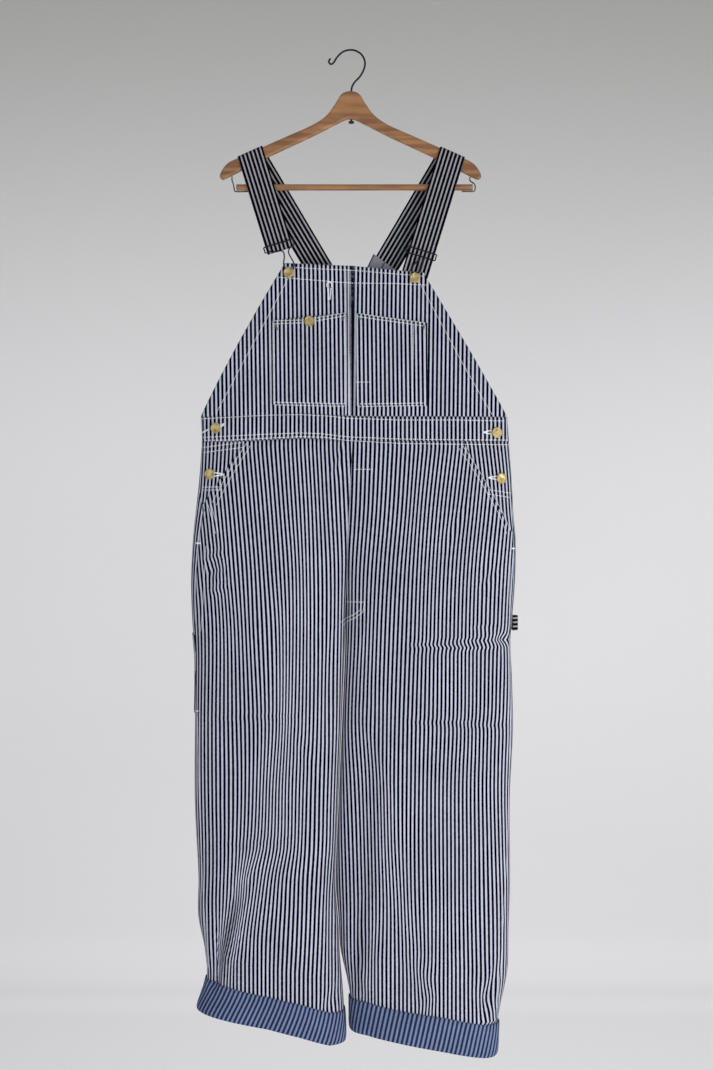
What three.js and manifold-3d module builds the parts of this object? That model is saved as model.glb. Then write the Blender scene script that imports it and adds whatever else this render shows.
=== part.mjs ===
// Bib dungarees hanging from a wooden hanger, in millimetres, +Z up, front towards -Y.
// The origin is the inside top of the hanger's hook. Left and right are the wearer's, so left is +X.
import * as THREE from 'three';
import { mergeVertices } from 'three/addons/utils/BufferGeometryUtils.js';
import Module from 'manifold-3d';

// Cloth
const WALL = 1.6;
const BAND_EXTRA = 0.9;
const SEAM_GAP = 0.3;
const LAY_GAP = 0.4;
const PATCH_WALL = 1.2;
const SECTION_POWER = 2.4;
const FINE_STEPS = 96;

// Heights of the trunk
const BIB_TOP_RIGHT = -352;
const BIB_TOP_CENTRE = -357;
const BIB_TOP_LEFT = -368;
const BACK_TOP = -372;
const WAIST_TOP = -604;
const WAIST_SEAM = -644.5;
const CROTCH = -938;
const TRUNK_HALF = 252;

// Above the waist: belly at the top, and how far both faces stand off the middle plane there
const TOP_BELLY = 5;
const TOP_LIFT = { front: 9, back: 10.5 };

// Top corners of the back bib, and how late its sides swing out to the full width
const BACK_CORNER_X = { right: -90, left: 96 };
const BACK_SWING = 1.8;

// Straps and hanger
const STRAP_WIDTH = 44;
const STRAP_THICK = 2.2;
const STRAP_CLEAR = 0.64;
const STRAP_LEAN_START = 6;
const STRAP_LEAN_RUN = 50;
const ARM_THICK = 11;
const ARM_EDGE_ROUND = 4.5;
const HANGER_X = 0.8;
const ARM_INNER = { x: 63, z: -122.5 };
const ARM_OUTER = { x: 194, z: -180.7 };
const BAR_Z = -225;
const BAR_RADIUS = 5.2;
const BAR_FROM = -187.5;
const BAR_TO = 202.5;
const HOOK_WIRE = 1.6;
const FITTING_WIRE = 1.1;

// Turn-ups
const CUFF_HEIGHT = { right: 50, left: 52 };

const MATERIALS = {
  twill: { color: 0x6c6f86, roughness: 0.9, metalness: 0 },
  reverse: { color: 0x59648a, roughness: 0.9, metalness: 0 },
  brass: { color: 0xc9a24e, roughness: 0.35, metalness: 1 },
  blackWire: { color: 0x1b1b1d, roughness: 0.45, metalness: 1 },
  steelWire: { color: 0x4a4a4c, roughness: 0.4, metalness: 1 },
  wood: { color: 0x966b40, roughness: 0.55, metalness: 0 },
};

function readTable(names, rows) {
  return rows.map((row) => Object.fromEntries(names.map((name, i) => [name, row[i]])));
}

// Middle line between the legs: x, and how far each leg's inner edge keeps from it.
const CENTRE_ROWS = readTable(['z', 'x', 'part'], [
  [BIB_TOP_RIGHT, 7, 0],
  [WAIST_SEAM, 4, 0],
  [-707, 1, 0],
  [-806, -4, 0],
  [CROTCH, -7, 0],
  [-1003, -9, 1],
  [-1235, -19, 1],
  [-1367, -24, 1],
  [-1433, -19, 1],
  [-1482, -16.5, 1],
  [-1532, -9, 3.5],
  [-1570, -4.5, 5.5],
  [-1660, -3, 5.5],
]);

// Distance from the middle of a leg's section to its inner edge.
const INNER_REACH = 115;

// Sections of the two legs: outer edge, depth in front of and behind the side, how far the
// outseam lies round the front, and the fall of the section per mm towards the left.
const LEG_COLUMNS = ['z', 'outer', 'front', 'back', 'seam', 'slope'];
const LEG_ROWS = {
  right: readTable(LEG_COLUMNS, [
    [WAIST_TOP, -246, 23.5, 22, 3, 0],
    [WAIST_SEAM, -244.5, 25, 24, 3, 0],
    [-707, -248.5, 31, 30, 3, 0],
    [-760, -254.5, 36, 36, 24, 0],
    [-806, -259, 39, 40, 24, 0],
    [-872, -262, 42, 42, 24, 0],
    [CROTCH, -260, 43, 43, 20, 0],
    [-1003, -255, 42, 42, 12, 0],
    [-1103, -255.5, 41, 41, 6, 0],
    [-1235, -255.5, 42, 41, 6, 0],
    [-1367, -249.5, 45, 42, 6, 0.05],
    [-1433, -250, 47, 43, 6, 0.1],
    [-1498, -239, 48, 44, 6, 0.17],
    [-1548, -236, 50, 45, 6, 0.2],
    [-1598, -250.5, 51, 46, 6, 0.2],
  ]),
  left: readTable(LEG_COLUMNS, [
    [WAIST_TOP, 259, 23.5, 22, 3, 0],
    [WAIST_SEAM, 262, 25, 24, 3, 0],
    [-707, 266.5, 31, 30, 3, 0],
    [-760, 269, 36, 36, 11, 0],
    [-806, 273, 39, 40, 15, 0],
    [-872, 272, 42, 42, 15, 0],
    [CROTCH, 267, 43, 43, 14, 0],
    [-971, 264.5, 42, 42, 10, 0],
    [-1040, 267, 41, 41, 5, 0],
    [-1120, 268.5, 41, 41, 5, 0],
    [-1235, 263, 42, 41, 5, 0],
    [-1367, 263.5, 45, 42, 5, 0.04],
    [-1433, 261, 47, 43, 5, 0.08],
    [-1500, 259, 49, 44, 5, 0.13],
    [-1585, 243, 51, 45, 5, 0.18],
    [-1637, 239, 52, 46, 5, 0.19],
  ]),
};

// Heights where a row of the leg's mesh must lie, and the number of rows down to each.
const LEVELS = {
  right: readTable(['z', 'steps'], [
    [WAIST_SEAM - SEAM_GAP / 2, 0],
    [-748, 4],
    [CROTCH, 5],
    [-959, 1],
    [-1090, 3],
    [-1270, 4],
    [-1470, 5],
    [-1548, 2],
    [-1598, 2],
  ]),
  left: readTable(['z', 'steps'], [
    [WAIST_SEAM - SEAM_GAP / 2, 0],
    [-790, 5],
    [CROTCH, 4],
    [-1100, 4],
    [-1270, 4],
    [-1480, 5],
    [-1585, 3],
    [-1637, 2],
  ]),
};

// Slanted mouths of the hip pockets.
const MOUTHS = {
  right: { topX: -170, bottomX: -240, bottomZ: -748 },
  left: { topX: 184.8, bottomX: 262, bottomZ: -790 },
};

// Largest folds: they run from one point to another, and a positive height is a ridge.
const FOLD_COLUMNS = ['leg', 'face', 'x0', 'z0', 'x1', 'z1', 'width', 'height'];
const FOLDS = readTable(FOLD_COLUMNS, [
  ['right', 'front', -74, -1296, -186, -1402, 22, -7],
  ['right', 'front', -196, -1395, -218, -1525, 20, -6],
  ['right', 'front', -60, -1290, -150, -1360, 26, 5],
  ['right', 'front', -130, -760, -150, -1150, 38, 4],
  ['right', 'front', -55, -700, -60, -1050, 26, -3],
  ['right', 'front', -95, -1420, -105, -1580, 26, 5],
  ['right', 'back', -190, -1180, -70, -1310, 26, -7],
  ['right', 'back', -60, -1360, -170, -1470, 24, -6],
  ['right', 'back', -140, -800, -150, -1120, 40, 4],
  ['left', 'front', 35, -1080, 10, -1400, 22, -5],
  ['left', 'front', 60, -1180, 45, -1520, 26, 5],
  ['left', 'front', 125, -1098, 255, -1104, 16, -3],
  ['left', 'front', 238, -965, 262, -972, 12, -4],
  ['left', 'front', 205, -1530, 240, -1585, 20, -6],
  ['left', 'front', 110, -760, 130, -1050, 40, 4],
  ['left', 'front', 120, -1330, 140, -1600, 30, 5],
  ['left', 'back', 190, -1130, 70, -1260, 26, -7],
  ['left', 'back', 60, -1400, 190, -1520, 24, -6],
  ['left', 'back', 140, -800, 150, -1100, 40, 4],
]);

// Slanted sides of the bib: outer corner at the top hem, the corner below it, and the bow.
const BIB = {
  right: { side: -1, hemX: -107, hemZ: BIB_TOP_RIGHT, cornerX: -119, cornerZ: -372, bow: 3 },
  left: { side: 1, hemX: 121, hemZ: BIB_TOP_LEFT, cornerX: 124, cornerZ: -374, bow: 1 },
};

// Chest pockets: left and right edge, bottom, and the top at both edges.
const CHEST_POCKETS = {
  right: { x0: -127.7, x1: -6, bottom: -586.5, top0: -447, top1: -435 },
  left: { x0: 10.5, x1: 126.5, bottom: -586.5, top0: -435.4, top1: -450.5 },
};

// Straps: foot of the front run at the slide, a fold or a free tail there, and the slide's height.
const STRAPS = {
  right: {
    side: -1, footX: -115.5, footZ: -327.5, backX: -36.5, backZ: -380, tail: 42, folded: true, slide: 8,
  },
  left: {
    side: 1, footX: 115.5, footZ: -341, backX: 42, backZ: -380, tail: 32, folded: false, slide: 10,
  },
};
const STRAP_FOOT_Y = -11;
const STRAP_BACK_Y = 18.4;
const TAIL_DROP = 1.5;

// Patch at the straps' joint: its corners in the front view, and how far back its front lies.
const JOINT_CORNERS = [
  [-34, -348], [-22, -355.5], [26.4, -360.5], [39.6, -332.5], [59.4, -347.6], [76, -359],
  [76, -393], [-34, -393],
];
const JOINT_FRONT_Y = 12.6;

// Slide: places round it, by height up the strap, share of its half width, and layer.
const SLIDE_ROOM = 1;
const SLIDE_BOW = 1.02;

// Rule pocket: heights between which it lies, and how many columns of the back leg it covers.
const RULE_POCKET = { top: -958, bottom: -1091, columns: 6 };

// Hammer loop: its heights, where it stands clear of the leg, and where it is sewn on behind.
const HAMMER_TOP = -931;
const HAMMER_BOTTOM = -956;
const HAMMER_START = 3;
const HAMMER_CLEAR = [[275, 9], [277, 20], [266, 33], [247, 41]];
const HAMMER_SEWN = [82, 94, 106];

const BUTTON_COLUMNS = ['name', 'x', 'z', 'rise'];
const BUTTONS = readTable(BUTTON_COLUMNS, [
  ['button_bib_right', -100, -368.5, 2.9],
  ['button_bib_left', 106.6, -377, 2.9],
  ['button_chest', -66.3, -448.4, 1.4],
  ['button_waist_right', -219, -622.8, 1.4],
  ['button_side_right', -228.5, -698.4, 1.4],
  ['button_waist_left', 240, -630.2, 1.4],
  ['button_side_left', 246.8, -705.4, 1.4],
]);
const BUTTON_RADIUS = 8.7;
const BUTTON_SEAT = 0.5;
const SHANK_RADIUS = 2.4;

const wasm = await Module();
wasm.setup();

function clamp(value, low, high) {
  return Math.min(high, Math.max(low, value));
}

function mix(a, b, t) {
  return a + (b - a) * t;
}

function smooth(t) {
  const u = clamp(t, 0, 1);
  return u * u * (3 - 2 * u);
}

function signedPower(value, power) {
  return Math.sign(value) * Math.abs(value) ** power;
}

// Value of a named column at a height, on a smooth curve through rows listed from the top down.
function columnAt(rows, name, z) {
  const last = rows.length - 1;
  let i = 0;
  while (i < last - 1 && z < rows[i + 1].z) {
    i += 1;
  }
  const a = rows[i];
  const b = rows[i + 1];
  const before = rows[Math.max(i - 1, 0)];
  const after = rows[Math.min(i + 2, last)];
  const span = b.z - a.z;
  const t = clamp((z - a.z) / span, 0, 1);
  const slopeA = (b[name] - before[name]) / (b.z - before.z);
  const slopeB = (after[name] - a[name]) / (after.z - a.z);
  const t2 = t * t;
  const t3 = t2 * t;
  return (2 * t3 - 3 * t2 + 1) * a[name] + (t3 - 2 * t2 + t) * span * slopeA
    + (3 * t2 - 2 * t3) * b[name] + (t3 - t2) * span * slopeB;
}

function centreAt(z) {
  return columnAt(CENTRE_ROWS, 'x', z);
}

function partAt(z) {
  return Math.max(0, columnAt(CENTRE_ROWS, 'part', z));
}

// Half of a flattened ring, from its outer edge round to the inner edge: points with their
// outward normals and the distance along the line.
function halfSection({ outer, inner, depth, end, lift, way }) {
  const power = 2 / SECTION_POWER;
  const reach = signedPower(Math.cos(end), power);
  const half = (outer - inner) / (1 - reach);
  const middle = outer - half;
  const line = [];
  let arc = 0;
  for (let i = 0; i <= FINE_STEPS; i += 1) {
    const angle = end * i / FINE_STEPS;
    const c = signedPower(Math.cos(angle), power);
    const s = Math.max(0, Math.sin(angle)) ** power;
    const slope = SECTION_POWER - 1;
    const gx = signedPower(c, slope) / half;
    const gy = (s ** slope) / depth;
    const size = Math.hypot(gx, gy);
    const point = { x: middle + half * c, y: way * (lift + depth * s), nx: gx / size, ny: way * gy / size };
    if (i > 0) {
      arc += Math.hypot(point.x - line[i - 1].x, point.y - line[i - 1].y);
    }
    line.push({ ...point, arc });
  }
  return line;
}

function lineLength(line) {
  return line[line.length - 1].arc;
}

function pointAlong(line, arc) {
  let i = 1;
  while (i < line.length - 1 && line[i].arc < arc) {
    i += 1;
  }
  const a = line[i - 1];
  const b = line[i];
  const t = clamp((arc - a.arc) / (b.arc - a.arc), 0, 1);
  const nx = mix(a.nx, b.nx, t);
  const ny = mix(a.ny, b.ny, t);
  const size = Math.hypot(nx, ny);
  return { x: mix(a.x, b.x, t), y: mix(a.y, b.y, t), nx: nx / size, ny: ny / size };
}

function arcAtX(line, x) {
  const towards = Math.sign(line[line.length - 1].x - line[0].x);
  const i = Math.max(1, line.findIndex((point) => (point.x - x) * towards >= 0));
  const a = line[i - 1];
  const b = line[i];
  return mix(a.arc, b.arc, clamp((x - a.x) / (b.x - a.x), 0, 1));
}

// Distances along a line, closer together at both ends, where it turns.
function spread(from, to, steps) {
  const easing = 0.45;
  const places = [];
  for (let i = 0; i <= steps; i += 1) {
    const t = i / steps;
    places.push(mix(from, to, t - easing * Math.sin(2 * Math.PI * t) / (2 * Math.PI)));
  }
  return places;
}

function levelHeights(levels) {
  const heights = [levels[0].z];
  for (let i = 1; i < levels.length; i += 1) {
    for (let step = 1; step <= levels[i].steps; step += 1) {
      heights.push(mix(levels[i - 1].z, levels[i].z, step / levels[i].steps));
    }
  }
  return heights;
}

// The valley between the legs deepens from the waist, where the front is flat, to the crotch.
function legLine(leg, face, z) {
  const rows = LEG_ROWS[leg];
  const side = leg === 'right' ? -1 : 1;
  const t = clamp((WAIST_SEAM - z) / (WAIST_SEAM - CROTCH), 0, 1);
  const turn = face === 'front' ? t ** 0.75 : t ** 1.2;
  const innerZ = z + side * columnAt(rows, 'slope', z) * INNER_REACH;
  return halfSection({
    outer: columnAt(rows, 'outer', z),
    inner: centreAt(innerZ) + side * partAt(innerZ),
    depth: columnAt(rows, face, z),
    end: Math.PI / 2 * (1 + turn),
    lift: 0,
    way: face === 'front' ? -1 : 1,
  });
}

function foldHeight(leg, face, x, z) {
  let height = 0;
  for (const fold of FOLDS) {
    if (fold.leg === leg && fold.face === face) {
      const runX = fold.x1 - fold.x0;
      const runZ = fold.z1 - fold.z0;
      const along = ((x - fold.x0) * runX + (z - fold.z0) * runZ) / (runX ** 2 + runZ ** 2);
      const nearest = clamp(along, 0, 1);
      const off = Math.hypot(x - fold.x0 - nearest * runX, z - fold.z0 - nearest * runZ);
      const taper = 0.35 + 0.65 * Math.sin(Math.PI * nearest);
      height += fold.height * taper * Math.exp(-((off / fold.width) ** 2));
    }
  }
  return height;
}

// Folds fade out over this distance from a panel's edges, so that neighbours keep their gap.
const FOLD_FADE = 24;

// One point of a leg panel on its outside, with the section's normal there.
function legPoint(leg, face, z, line, arc) {
  const flat = pointAlong(line, arc);
  const slope = columnAt(LEG_ROWS[leg], 'slope', z);
  const middle = (line[0].x + line[line.length - 1].x) / 2;
  const edge = Math.min(arc, lineLength(line) - arc);
  const height = z - slope * (flat.x - middle);
  const rise = smooth(edge / FOLD_FADE) * foldHeight(leg, face, flat.x, height);
  return {
    position: new THREE.Vector3(flat.x + flat.nx * rise, flat.y + flat.ny * rise, height),
    normal: new THREE.Vector3(flat.nx, flat.ny, 0),
  };
}

function mouthX(leg, z) {
  const mouth = MOUTHS[leg];
  return mix(mouth.topX, mouth.bottomX, (WAIST_SEAM - z) / (WAIST_SEAM - mouth.bottomZ));
}

const LEG_STEPS = 12;
const FACING_STEPS = 3;
const MOUTH_END = 1.6;

// Where the front leg starts: at the outseam, and higher up at the pocket's slanted mouth.
function frontStart(leg, z, line) {
  const seam = columnAt(LEG_ROWS[leg], 'seam', z);
  if (z < MOUTHS[leg].bottomZ - 1) {
    return seam;
  }
  return Math.max(seam + MOUTH_END, arcAtX(line, mouthX(leg, z)));
}

function legFrontGrid(leg) {
  return levelHeights(LEVELS[leg]).map((z) => {
    const line = legLine(leg, 'front', z);
    const start = frontStart(leg, z, line) + SEAM_GAP / 2;
    const places = spread(start, lineLength(line) - SEAM_GAP / 2, LEG_STEPS);
    return places.map((arc) => legPoint(leg, 'front', z, line, arc));
  });
}

// The back leg starts round the front at the outseam, so its second column is the very side.
function legBackGrid(leg) {
  return levelHeights(LEVELS[leg]).map((z) => {
    const front = legLine(leg, 'front', z);
    const back = legLine(leg, 'back', z);
    const seam = columnAt(LEG_ROWS[leg], 'seam', z) - SEAM_GAP / 2;
    const places = spread(0, lineLength(back) - SEAM_GAP / 2, LEG_STEPS - 1);
    const row = places.map((arc) => legPoint(leg, 'back', z, back, arc));
    return [legPoint(leg, 'front', z, front, seam), ...row];
  });
}

function facingGrid(leg) {
  const heights = levelHeights(LEVELS[leg]).filter((z) => z >= MOUTHS[leg].bottomZ - 1);
  return heights.map((z) => {
    const line = legLine(leg, 'front', z);
    const from = columnAt(LEG_ROWS[leg], 'seam', z) + SEAM_GAP / 2;
    const to = frontStart(leg, z, line) - SEAM_GAP / 2;
    return spread(from, to, FACING_STEPS).map((arc) => legPoint(leg, 'front', z, line, arc));
  });
}

function faceQuad(triangles, a, b, c, d) {
  triangles.push([a, b, c], [a, c, d]);
}

// A cloth wall from a grid of outside points: skins at two distances along the normals.
function wallGeometry(grid, low, high) {
  const rows = grid.length;
  const columns = grid[0].length;
  const points = [];
  for (const distance of [high, low]) {
    for (const row of grid) {
      for (const { position, normal } of row) {
        points.push(position.clone().addScaledVector(normal, distance));
      }
    }
  }
  const at = (skin, i, j) => skin * rows * columns + i * columns + j;
  const triangles = [];
  for (let i = 0; i < rows - 1; i += 1) {
    for (let j = 0; j < columns - 1; j += 1) {
      faceQuad(triangles, at(0, i, j), at(0, i + 1, j), at(0, i + 1, j + 1), at(0, i, j + 1));
      faceQuad(triangles, at(1, i, j), at(1, i, j + 1), at(1, i + 1, j + 1), at(1, i + 1, j));
    }
  }
  for (let i = 0; i < rows - 1; i += 1) {
    faceQuad(triangles, at(0, i, 0), at(1, i, 0), at(1, i + 1, 0), at(0, i + 1, 0));
    const j = columns - 1;
    faceQuad(triangles, at(0, i, j), at(0, i + 1, j), at(1, i + 1, j), at(1, i, j));
  }
  for (let j = 0; j < columns - 1; j += 1) {
    faceQuad(triangles, at(0, 0, j), at(0, 0, j + 1), at(1, 0, j + 1), at(1, 0, j));
    const i = rows - 1;
    faceQuad(triangles, at(0, i, j), at(1, i, j), at(1, i, j + 1), at(0, i, j + 1));
  }
  return outwardGeometry(points, triangles);
}

// Rings of points joined into a closed band, as a wire loop or a turn-up is.
function ringGeometry(rings) {
  const count = rings[0].length;
  const triangles = [];
  for (let i = 0; i < rings.length; i += 1) {
    const next = (i + 1) % rings.length;
    for (let j = 0; j < count; j += 1) {
      const k = (j + 1) % count;
      faceQuad(triangles, i * count + j, next * count + j, next * count + k, i * count + k);
    }
  }
  return outwardGeometry(rings.flat(), triangles);
}

// Builds the geometry and turns every face round if the body came out inside out.
function outwardGeometry(points, triangles) {
  let volume = 0;
  for (const [a, b, c] of triangles) {
    volume += points[a].dot(points[b].clone().cross(points[c]));
  }
  const index = triangles.flatMap(([a, b, c]) => (volume > 0 ? [a, b, c] : [a, c, b]));
  const geometry = new THREE.BufferGeometry();
  const positions = points.flatMap((point) => [point.x, point.y, point.z]);
  geometry.setAttribute('position', new THREE.Float32BufferAttribute(positions, 3));
  geometry.setIndex(index);
  return geometry;
}

function cutHole(geometry, hole) {
  const solids = [geometry, hole].map((source) => {
    const bare = source.clone();
    bare.deleteAttribute('normal');
    bare.deleteAttribute('uv');
    const merged = mergeVertices(bare, 1e-4);
    return new wasm.Manifold(new wasm.Mesh({
      numProp: 3,
      vertProperties: new Float32Array(merged.attributes.position.array),
      triVerts: new Uint32Array(merged.index.array),
    }));
  });
  const mesh = solids[0].subtract(solids[1]).getMesh();
  const cut = new THREE.BufferGeometry();
  cut.setAttribute('position', new THREE.BufferAttribute(mesh.vertProperties, 3));
  cut.setIndex(new THREE.BufferAttribute(mesh.triVerts, 1));
  return cut;
}

const garment = new THREE.Group();

function addPiece(name, geometry, look) {
  const mesh = new THREE.Mesh(geometry, new THREE.MeshStandardMaterial(MATERIALS[look]));
  mesh.name = name;
  garment.add(mesh);
  return mesh;
}

// Depth of the trunk above the waist: how far it bellies out, and how far it stands off the middle.
function bibDepth(face, z) {
  const up = clamp((z - WAIST_TOP) / (BIB_TOP_RIGHT - WAIST_TOP), 0, 1);
  const atWaist = columnAt(LEG_ROWS.right, face, WAIST_TOP);
  return { belly: mix(atWaist, TOP_BELLY, smooth(up)), lift: TOP_LIFT[face] * smooth(up) };
}

function bibPoint(face, x, z) {
  const centre = centreAt(z);
  const outer = columnAt(LEG_ROWS[x < centre ? 'right' : 'left'], 'outer', WAIST_TOP);
  const ratio = clamp((x - centre) / Math.abs(outer - centre), -1, 1);
  const { belly, lift } = bibDepth(face, z);
  const way = face === 'front' ? -1 : 1;
  const bulge = (1 - Math.abs(ratio) ** SECTION_POWER) ** (1 / SECTION_POWER);
  const slope = SECTION_POWER - 1;
  const gx = signedPower(ratio, slope) / TRUNK_HALF;
  const gy = bulge ** slope / belly;
  return {
    position: new THREE.Vector3(x, way * (lift + belly * bulge), z),
    normal: new THREE.Vector3(gx, way * gy, 0).normalize(),
  };
}

const BIB_ROWS = 9;
const BIB_STEPS = 8;

// Outer edge of the bib at a share of its height, up the slanted side and round the corner.
function bibEdge(spec, v) {
  const outer = columnAt(LEG_ROWS[spec.side < 0 ? 'right' : 'left'], 'outer', WAIST_TOP);
  const foot = WAIST_TOP + SEAM_GAP / 2;
  if (v >= 1) {
    return { x: spec.hemX, z: spec.hemZ };
  }
  const t = v * BIB_ROWS / (BIB_ROWS - 1);
  return {
    x: mix(outer, spec.cornerX, t) + spec.side * spec.bow * 4 * t * (1 - t),
    z: mix(foot, spec.cornerZ, t),
  };
}

function bibGrid(spec) {
  const grid = [];
  for (let i = 0; i <= BIB_ROWS; i += 1) {
    const v = i / BIB_ROWS;
    const edge = bibEdge(spec, v);
    const centreZ = mix(WAIST_TOP + SEAM_GAP / 2, BIB_TOP_CENTRE, v);
    const row = [];
    for (let j = 0; j <= BIB_STEPS; j += 1) {
      const s = (j / BIB_STEPS) ** 1.5;
      const z = mix(edge.z, centreZ, s);
      const seam = centreAt(z) + spec.side * SEAM_GAP / 2;
      row.push(bibPoint('front', mix(edge.x, seam, s), z));
    }
    grid.push(row);
  }
  return grid;
}

function buildBib() {
  for (const [leg, spec] of Object.entries(BIB)) {
    addPiece(`bib_${leg}`, wallGeometry(bibGrid(spec), -WALL, 0), 'twill');
  }
}

function buildChestPockets() {
  const steps = 6;
  for (const [leg, pocket] of Object.entries(CHEST_POCKETS)) {
    const grid = [];
    for (let i = 0; i <= steps; i += 1) {
      const row = [];
      for (let j = 0; j <= steps; j += 1) {
        const top = mix(pocket.top0, pocket.top1, j / steps);
        const x = mix(pocket.x0, pocket.x1, j / steps);
        row.push(bibPoint('front', x, mix(pocket.bottom, top, i / steps)));
      }
      grid.push(row);
    }
    addPiece(`chest_pocket_${leg}`, wallGeometry(grid, LAY_GAP, LAY_GAP + PATCH_WALL), 'twill');
  }
}

// The waistband runs across the whole front, from side to side.
function buildWaistband() {
  const steps = 13;
  const heights = [WAIST_TOP - SEAM_GAP / 2, (WAIST_TOP + WAIST_SEAM) / 2, WAIST_SEAM + SEAM_GAP / 2];
  const grid = heights.map((z) => {
    const halves = ['right', 'left'].map((leg) => {
      const line = legLine(leg, 'front', z);
      return spread(SEAM_GAP / 2, lineLength(line), steps).map((arc) => {
        const flat = pointAlong(line, arc);
        return {
          position: new THREE.Vector3(flat.x, flat.y, z),
          normal: new THREE.Vector3(flat.nx, flat.ny, 0),
        };
      });
    });
    return [...halves[0], ...halves[1].slice(0, -1).reverse()];
  });
  addPiece('waistband_front', wallGeometry(grid, -WALL, BAND_EXTRA), 'twill');
}

// Outer edge of the back bib: full width at the waist, then cut away under the arms.
function backEdge(leg, z) {
  const outer = columnAt(LEG_ROWS[leg], 'outer', WAIST_TOP);
  const t = clamp((BACK_TOP - z) / (BACK_TOP - WAIST_TOP), 0, 1);
  return mix(BACK_CORNER_X[leg], outer, t ** BACK_SWING);
}

function buildBackBib() {
  const rows = 11;
  const steps = 6;
  const foot = WAIST_SEAM + SEAM_GAP / 2;
  const grid = [];
  for (let i = 0; i <= rows; i += 1) {
    const z = mix(foot, BACK_TOP, i / rows);
    const { belly, lift } = bibDepth('back', z);
    const halves = ['right', 'left'].map((leg) => {
      const line = halfSection({
        outer: columnAt(LEG_ROWS[leg], 'outer', Math.min(z, WAIST_TOP)),
        inner: centreAt(z),
        depth: z < WAIST_TOP ? columnAt(LEG_ROWS[leg], 'back', z) : belly,
        end: Math.PI / 2,
        lift: z < WAIST_TOP ? 0 : lift,
        way: 1,
      });
      const start = z < WAIST_TOP ? 0 : arcAtX(line, backEdge(leg, z));
      return spread(start + SEAM_GAP / 2, lineLength(line), steps).map((arc) => {
        const flat = pointAlong(line, arc);
        return {
          position: new THREE.Vector3(flat.x, flat.y, z),
          normal: new THREE.Vector3(flat.nx, flat.ny, 0),
        };
      });
    });
    grid.push([...halves[0], ...halves[1].slice(0, -1).reverse()]);
  }
  addPiece('back_bib', wallGeometry(grid, -WALL, 0), 'twill');
}

const LEG_GRIDS = {
  right: { front: legFrontGrid('right'), back: legBackGrid('right') },
  left: { front: legFrontGrid('left'), back: legBackGrid('left') },
};

function buildLegs() {
  for (const leg of ['right', 'left']) {
    addPiece(`leg_front_${leg}`, wallGeometry(LEG_GRIDS[leg].front, -WALL, 0), 'twill');
    addPiece(`leg_back_${leg}`, wallGeometry(LEG_GRIDS[leg].back, -WALL, 0), 'twill');
    addPiece(`hip_facing_${leg}`, wallGeometry(facingGrid(leg), -WALL, 0), 'twill');
  }
}

// The rule pocket lies on the right back leg, made from that panel's own points.
function buildRulePocket() {
  const heights = levelHeights(LEVELS.right);
  const { top, bottom, columns } = RULE_POCKET;
  const rows = LEG_GRIDS.right.back.filter((row, i) => heights[i] < top && heights[i] > bottom);
  const grid = rows.map((row) => row.slice(0, columns));
  addPiece('rule_pocket', wallGeometry(grid, LAY_GAP, LAY_GAP + PATCH_WALL), 'twill');
}

// Turn-up profile: height above the hem and distance outside the leg, round the closed wall.
const CUFF_PROFILE = readTable(['up', 'out'], [
  [1, 1],
  [1, 2.6],
  [0.6, 3.6],
  [0.12, 3.5],
  [0.01, 2.9],
  [-0.035, 1.2],
  [-0.035, -0.8],
  [-0.012, -WALL],
  [-0.006, 0.5],
  [0.12, 1.5],
  [0.6, 1.8],
]);

// A point of the leg's grid at a height above its hem, between the rows next to it.
function gridPointAbove(grid, heights, column, up) {
  const last = heights.length - 1;
  const z = heights[last] + up;
  let i = last - 1;
  while (i > 0 && heights[i] < z) {
    i -= 1;
  }
  const t = (z - heights[i]) / (heights[i + 1] - heights[i]);
  const a = grid[i][column];
  const b = grid[i + 1][column];
  return {
    position: a.position.clone().lerp(b.position, t),
    normal: a.normal.clone().lerp(b.normal, t).normalize(),
  };
}

function buildCuffs() {
  for (const leg of ['right', 'left']) {
    const heights = levelHeights(LEVELS[leg]);
    const { front, back } = LEG_GRIDS[leg];
    const around = [];
    for (let j = 0; j <= LEG_STEPS; j += 1) {
      around.push([front, j]);
    }
    for (let j = LEG_STEPS - 1; j > 0; j -= 1) {
      around.push([back, j]);
    }
    const rings = around.map(([grid, column]) => CUFF_PROFILE.map(({ up, out }) => {
      const height = up * CUFF_HEIGHT[leg];
      const { position, normal } = gridPointAbove(grid, heights, column, height);
      return position.addScaledVector(normal, out);
    }));
    addPiece(`cuff_${leg}`, ringGeometry(rings), 'reverse');
  }
}

// Direction of the hanger's arm on one side, downwards and outwards, and the way square to it.
function armFrame(side) {
  const run = new THREE.Vector3(side * (ARM_OUTER.x - ARM_INNER.x), 0, ARM_OUTER.z - ARM_INNER.z);
  const along = run.normalize();
  const down = new THREE.Vector3(along.z * side, 0, -along.x * side);
  const origin = new THREE.Vector3(HANGER_X + side * ARM_INNER.x, 0, ARM_INNER.z);
  return { along, down, origin };
}

// A strap is a straight ribbon laid over the arm: its run is worked out on the unrolled plane,
// with u along the arm and w across it, negative in front and positive behind.
function strapFrame(spec) {
  const { along, down, origin } = armFrame(spec.side);
  const inner = ARM_THICK / 2 + STRAP_CLEAR;
  const foot = new THREE.Vector3(spec.footX, 0, spec.footZ).sub(origin);
  const end = new THREE.Vector3(spec.backX, 0, spec.backZ).sub(origin);
  const turn = Math.PI * (inner + STRAP_THICK / 2);
  const frontW = -(foot.dot(down) - ARM_THICK / 2) - turn / 2;
  const backW = end.dot(down) - ARM_THICK / 2 + turn / 2;
  const frontU = foot.dot(along);
  const backU = end.dot(along);
  const length = Math.hypot(backU - frontU, backW - frontW);
  return { along, down, origin, inner, turn, frontU, frontW, backU, backW, length };
}

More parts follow.
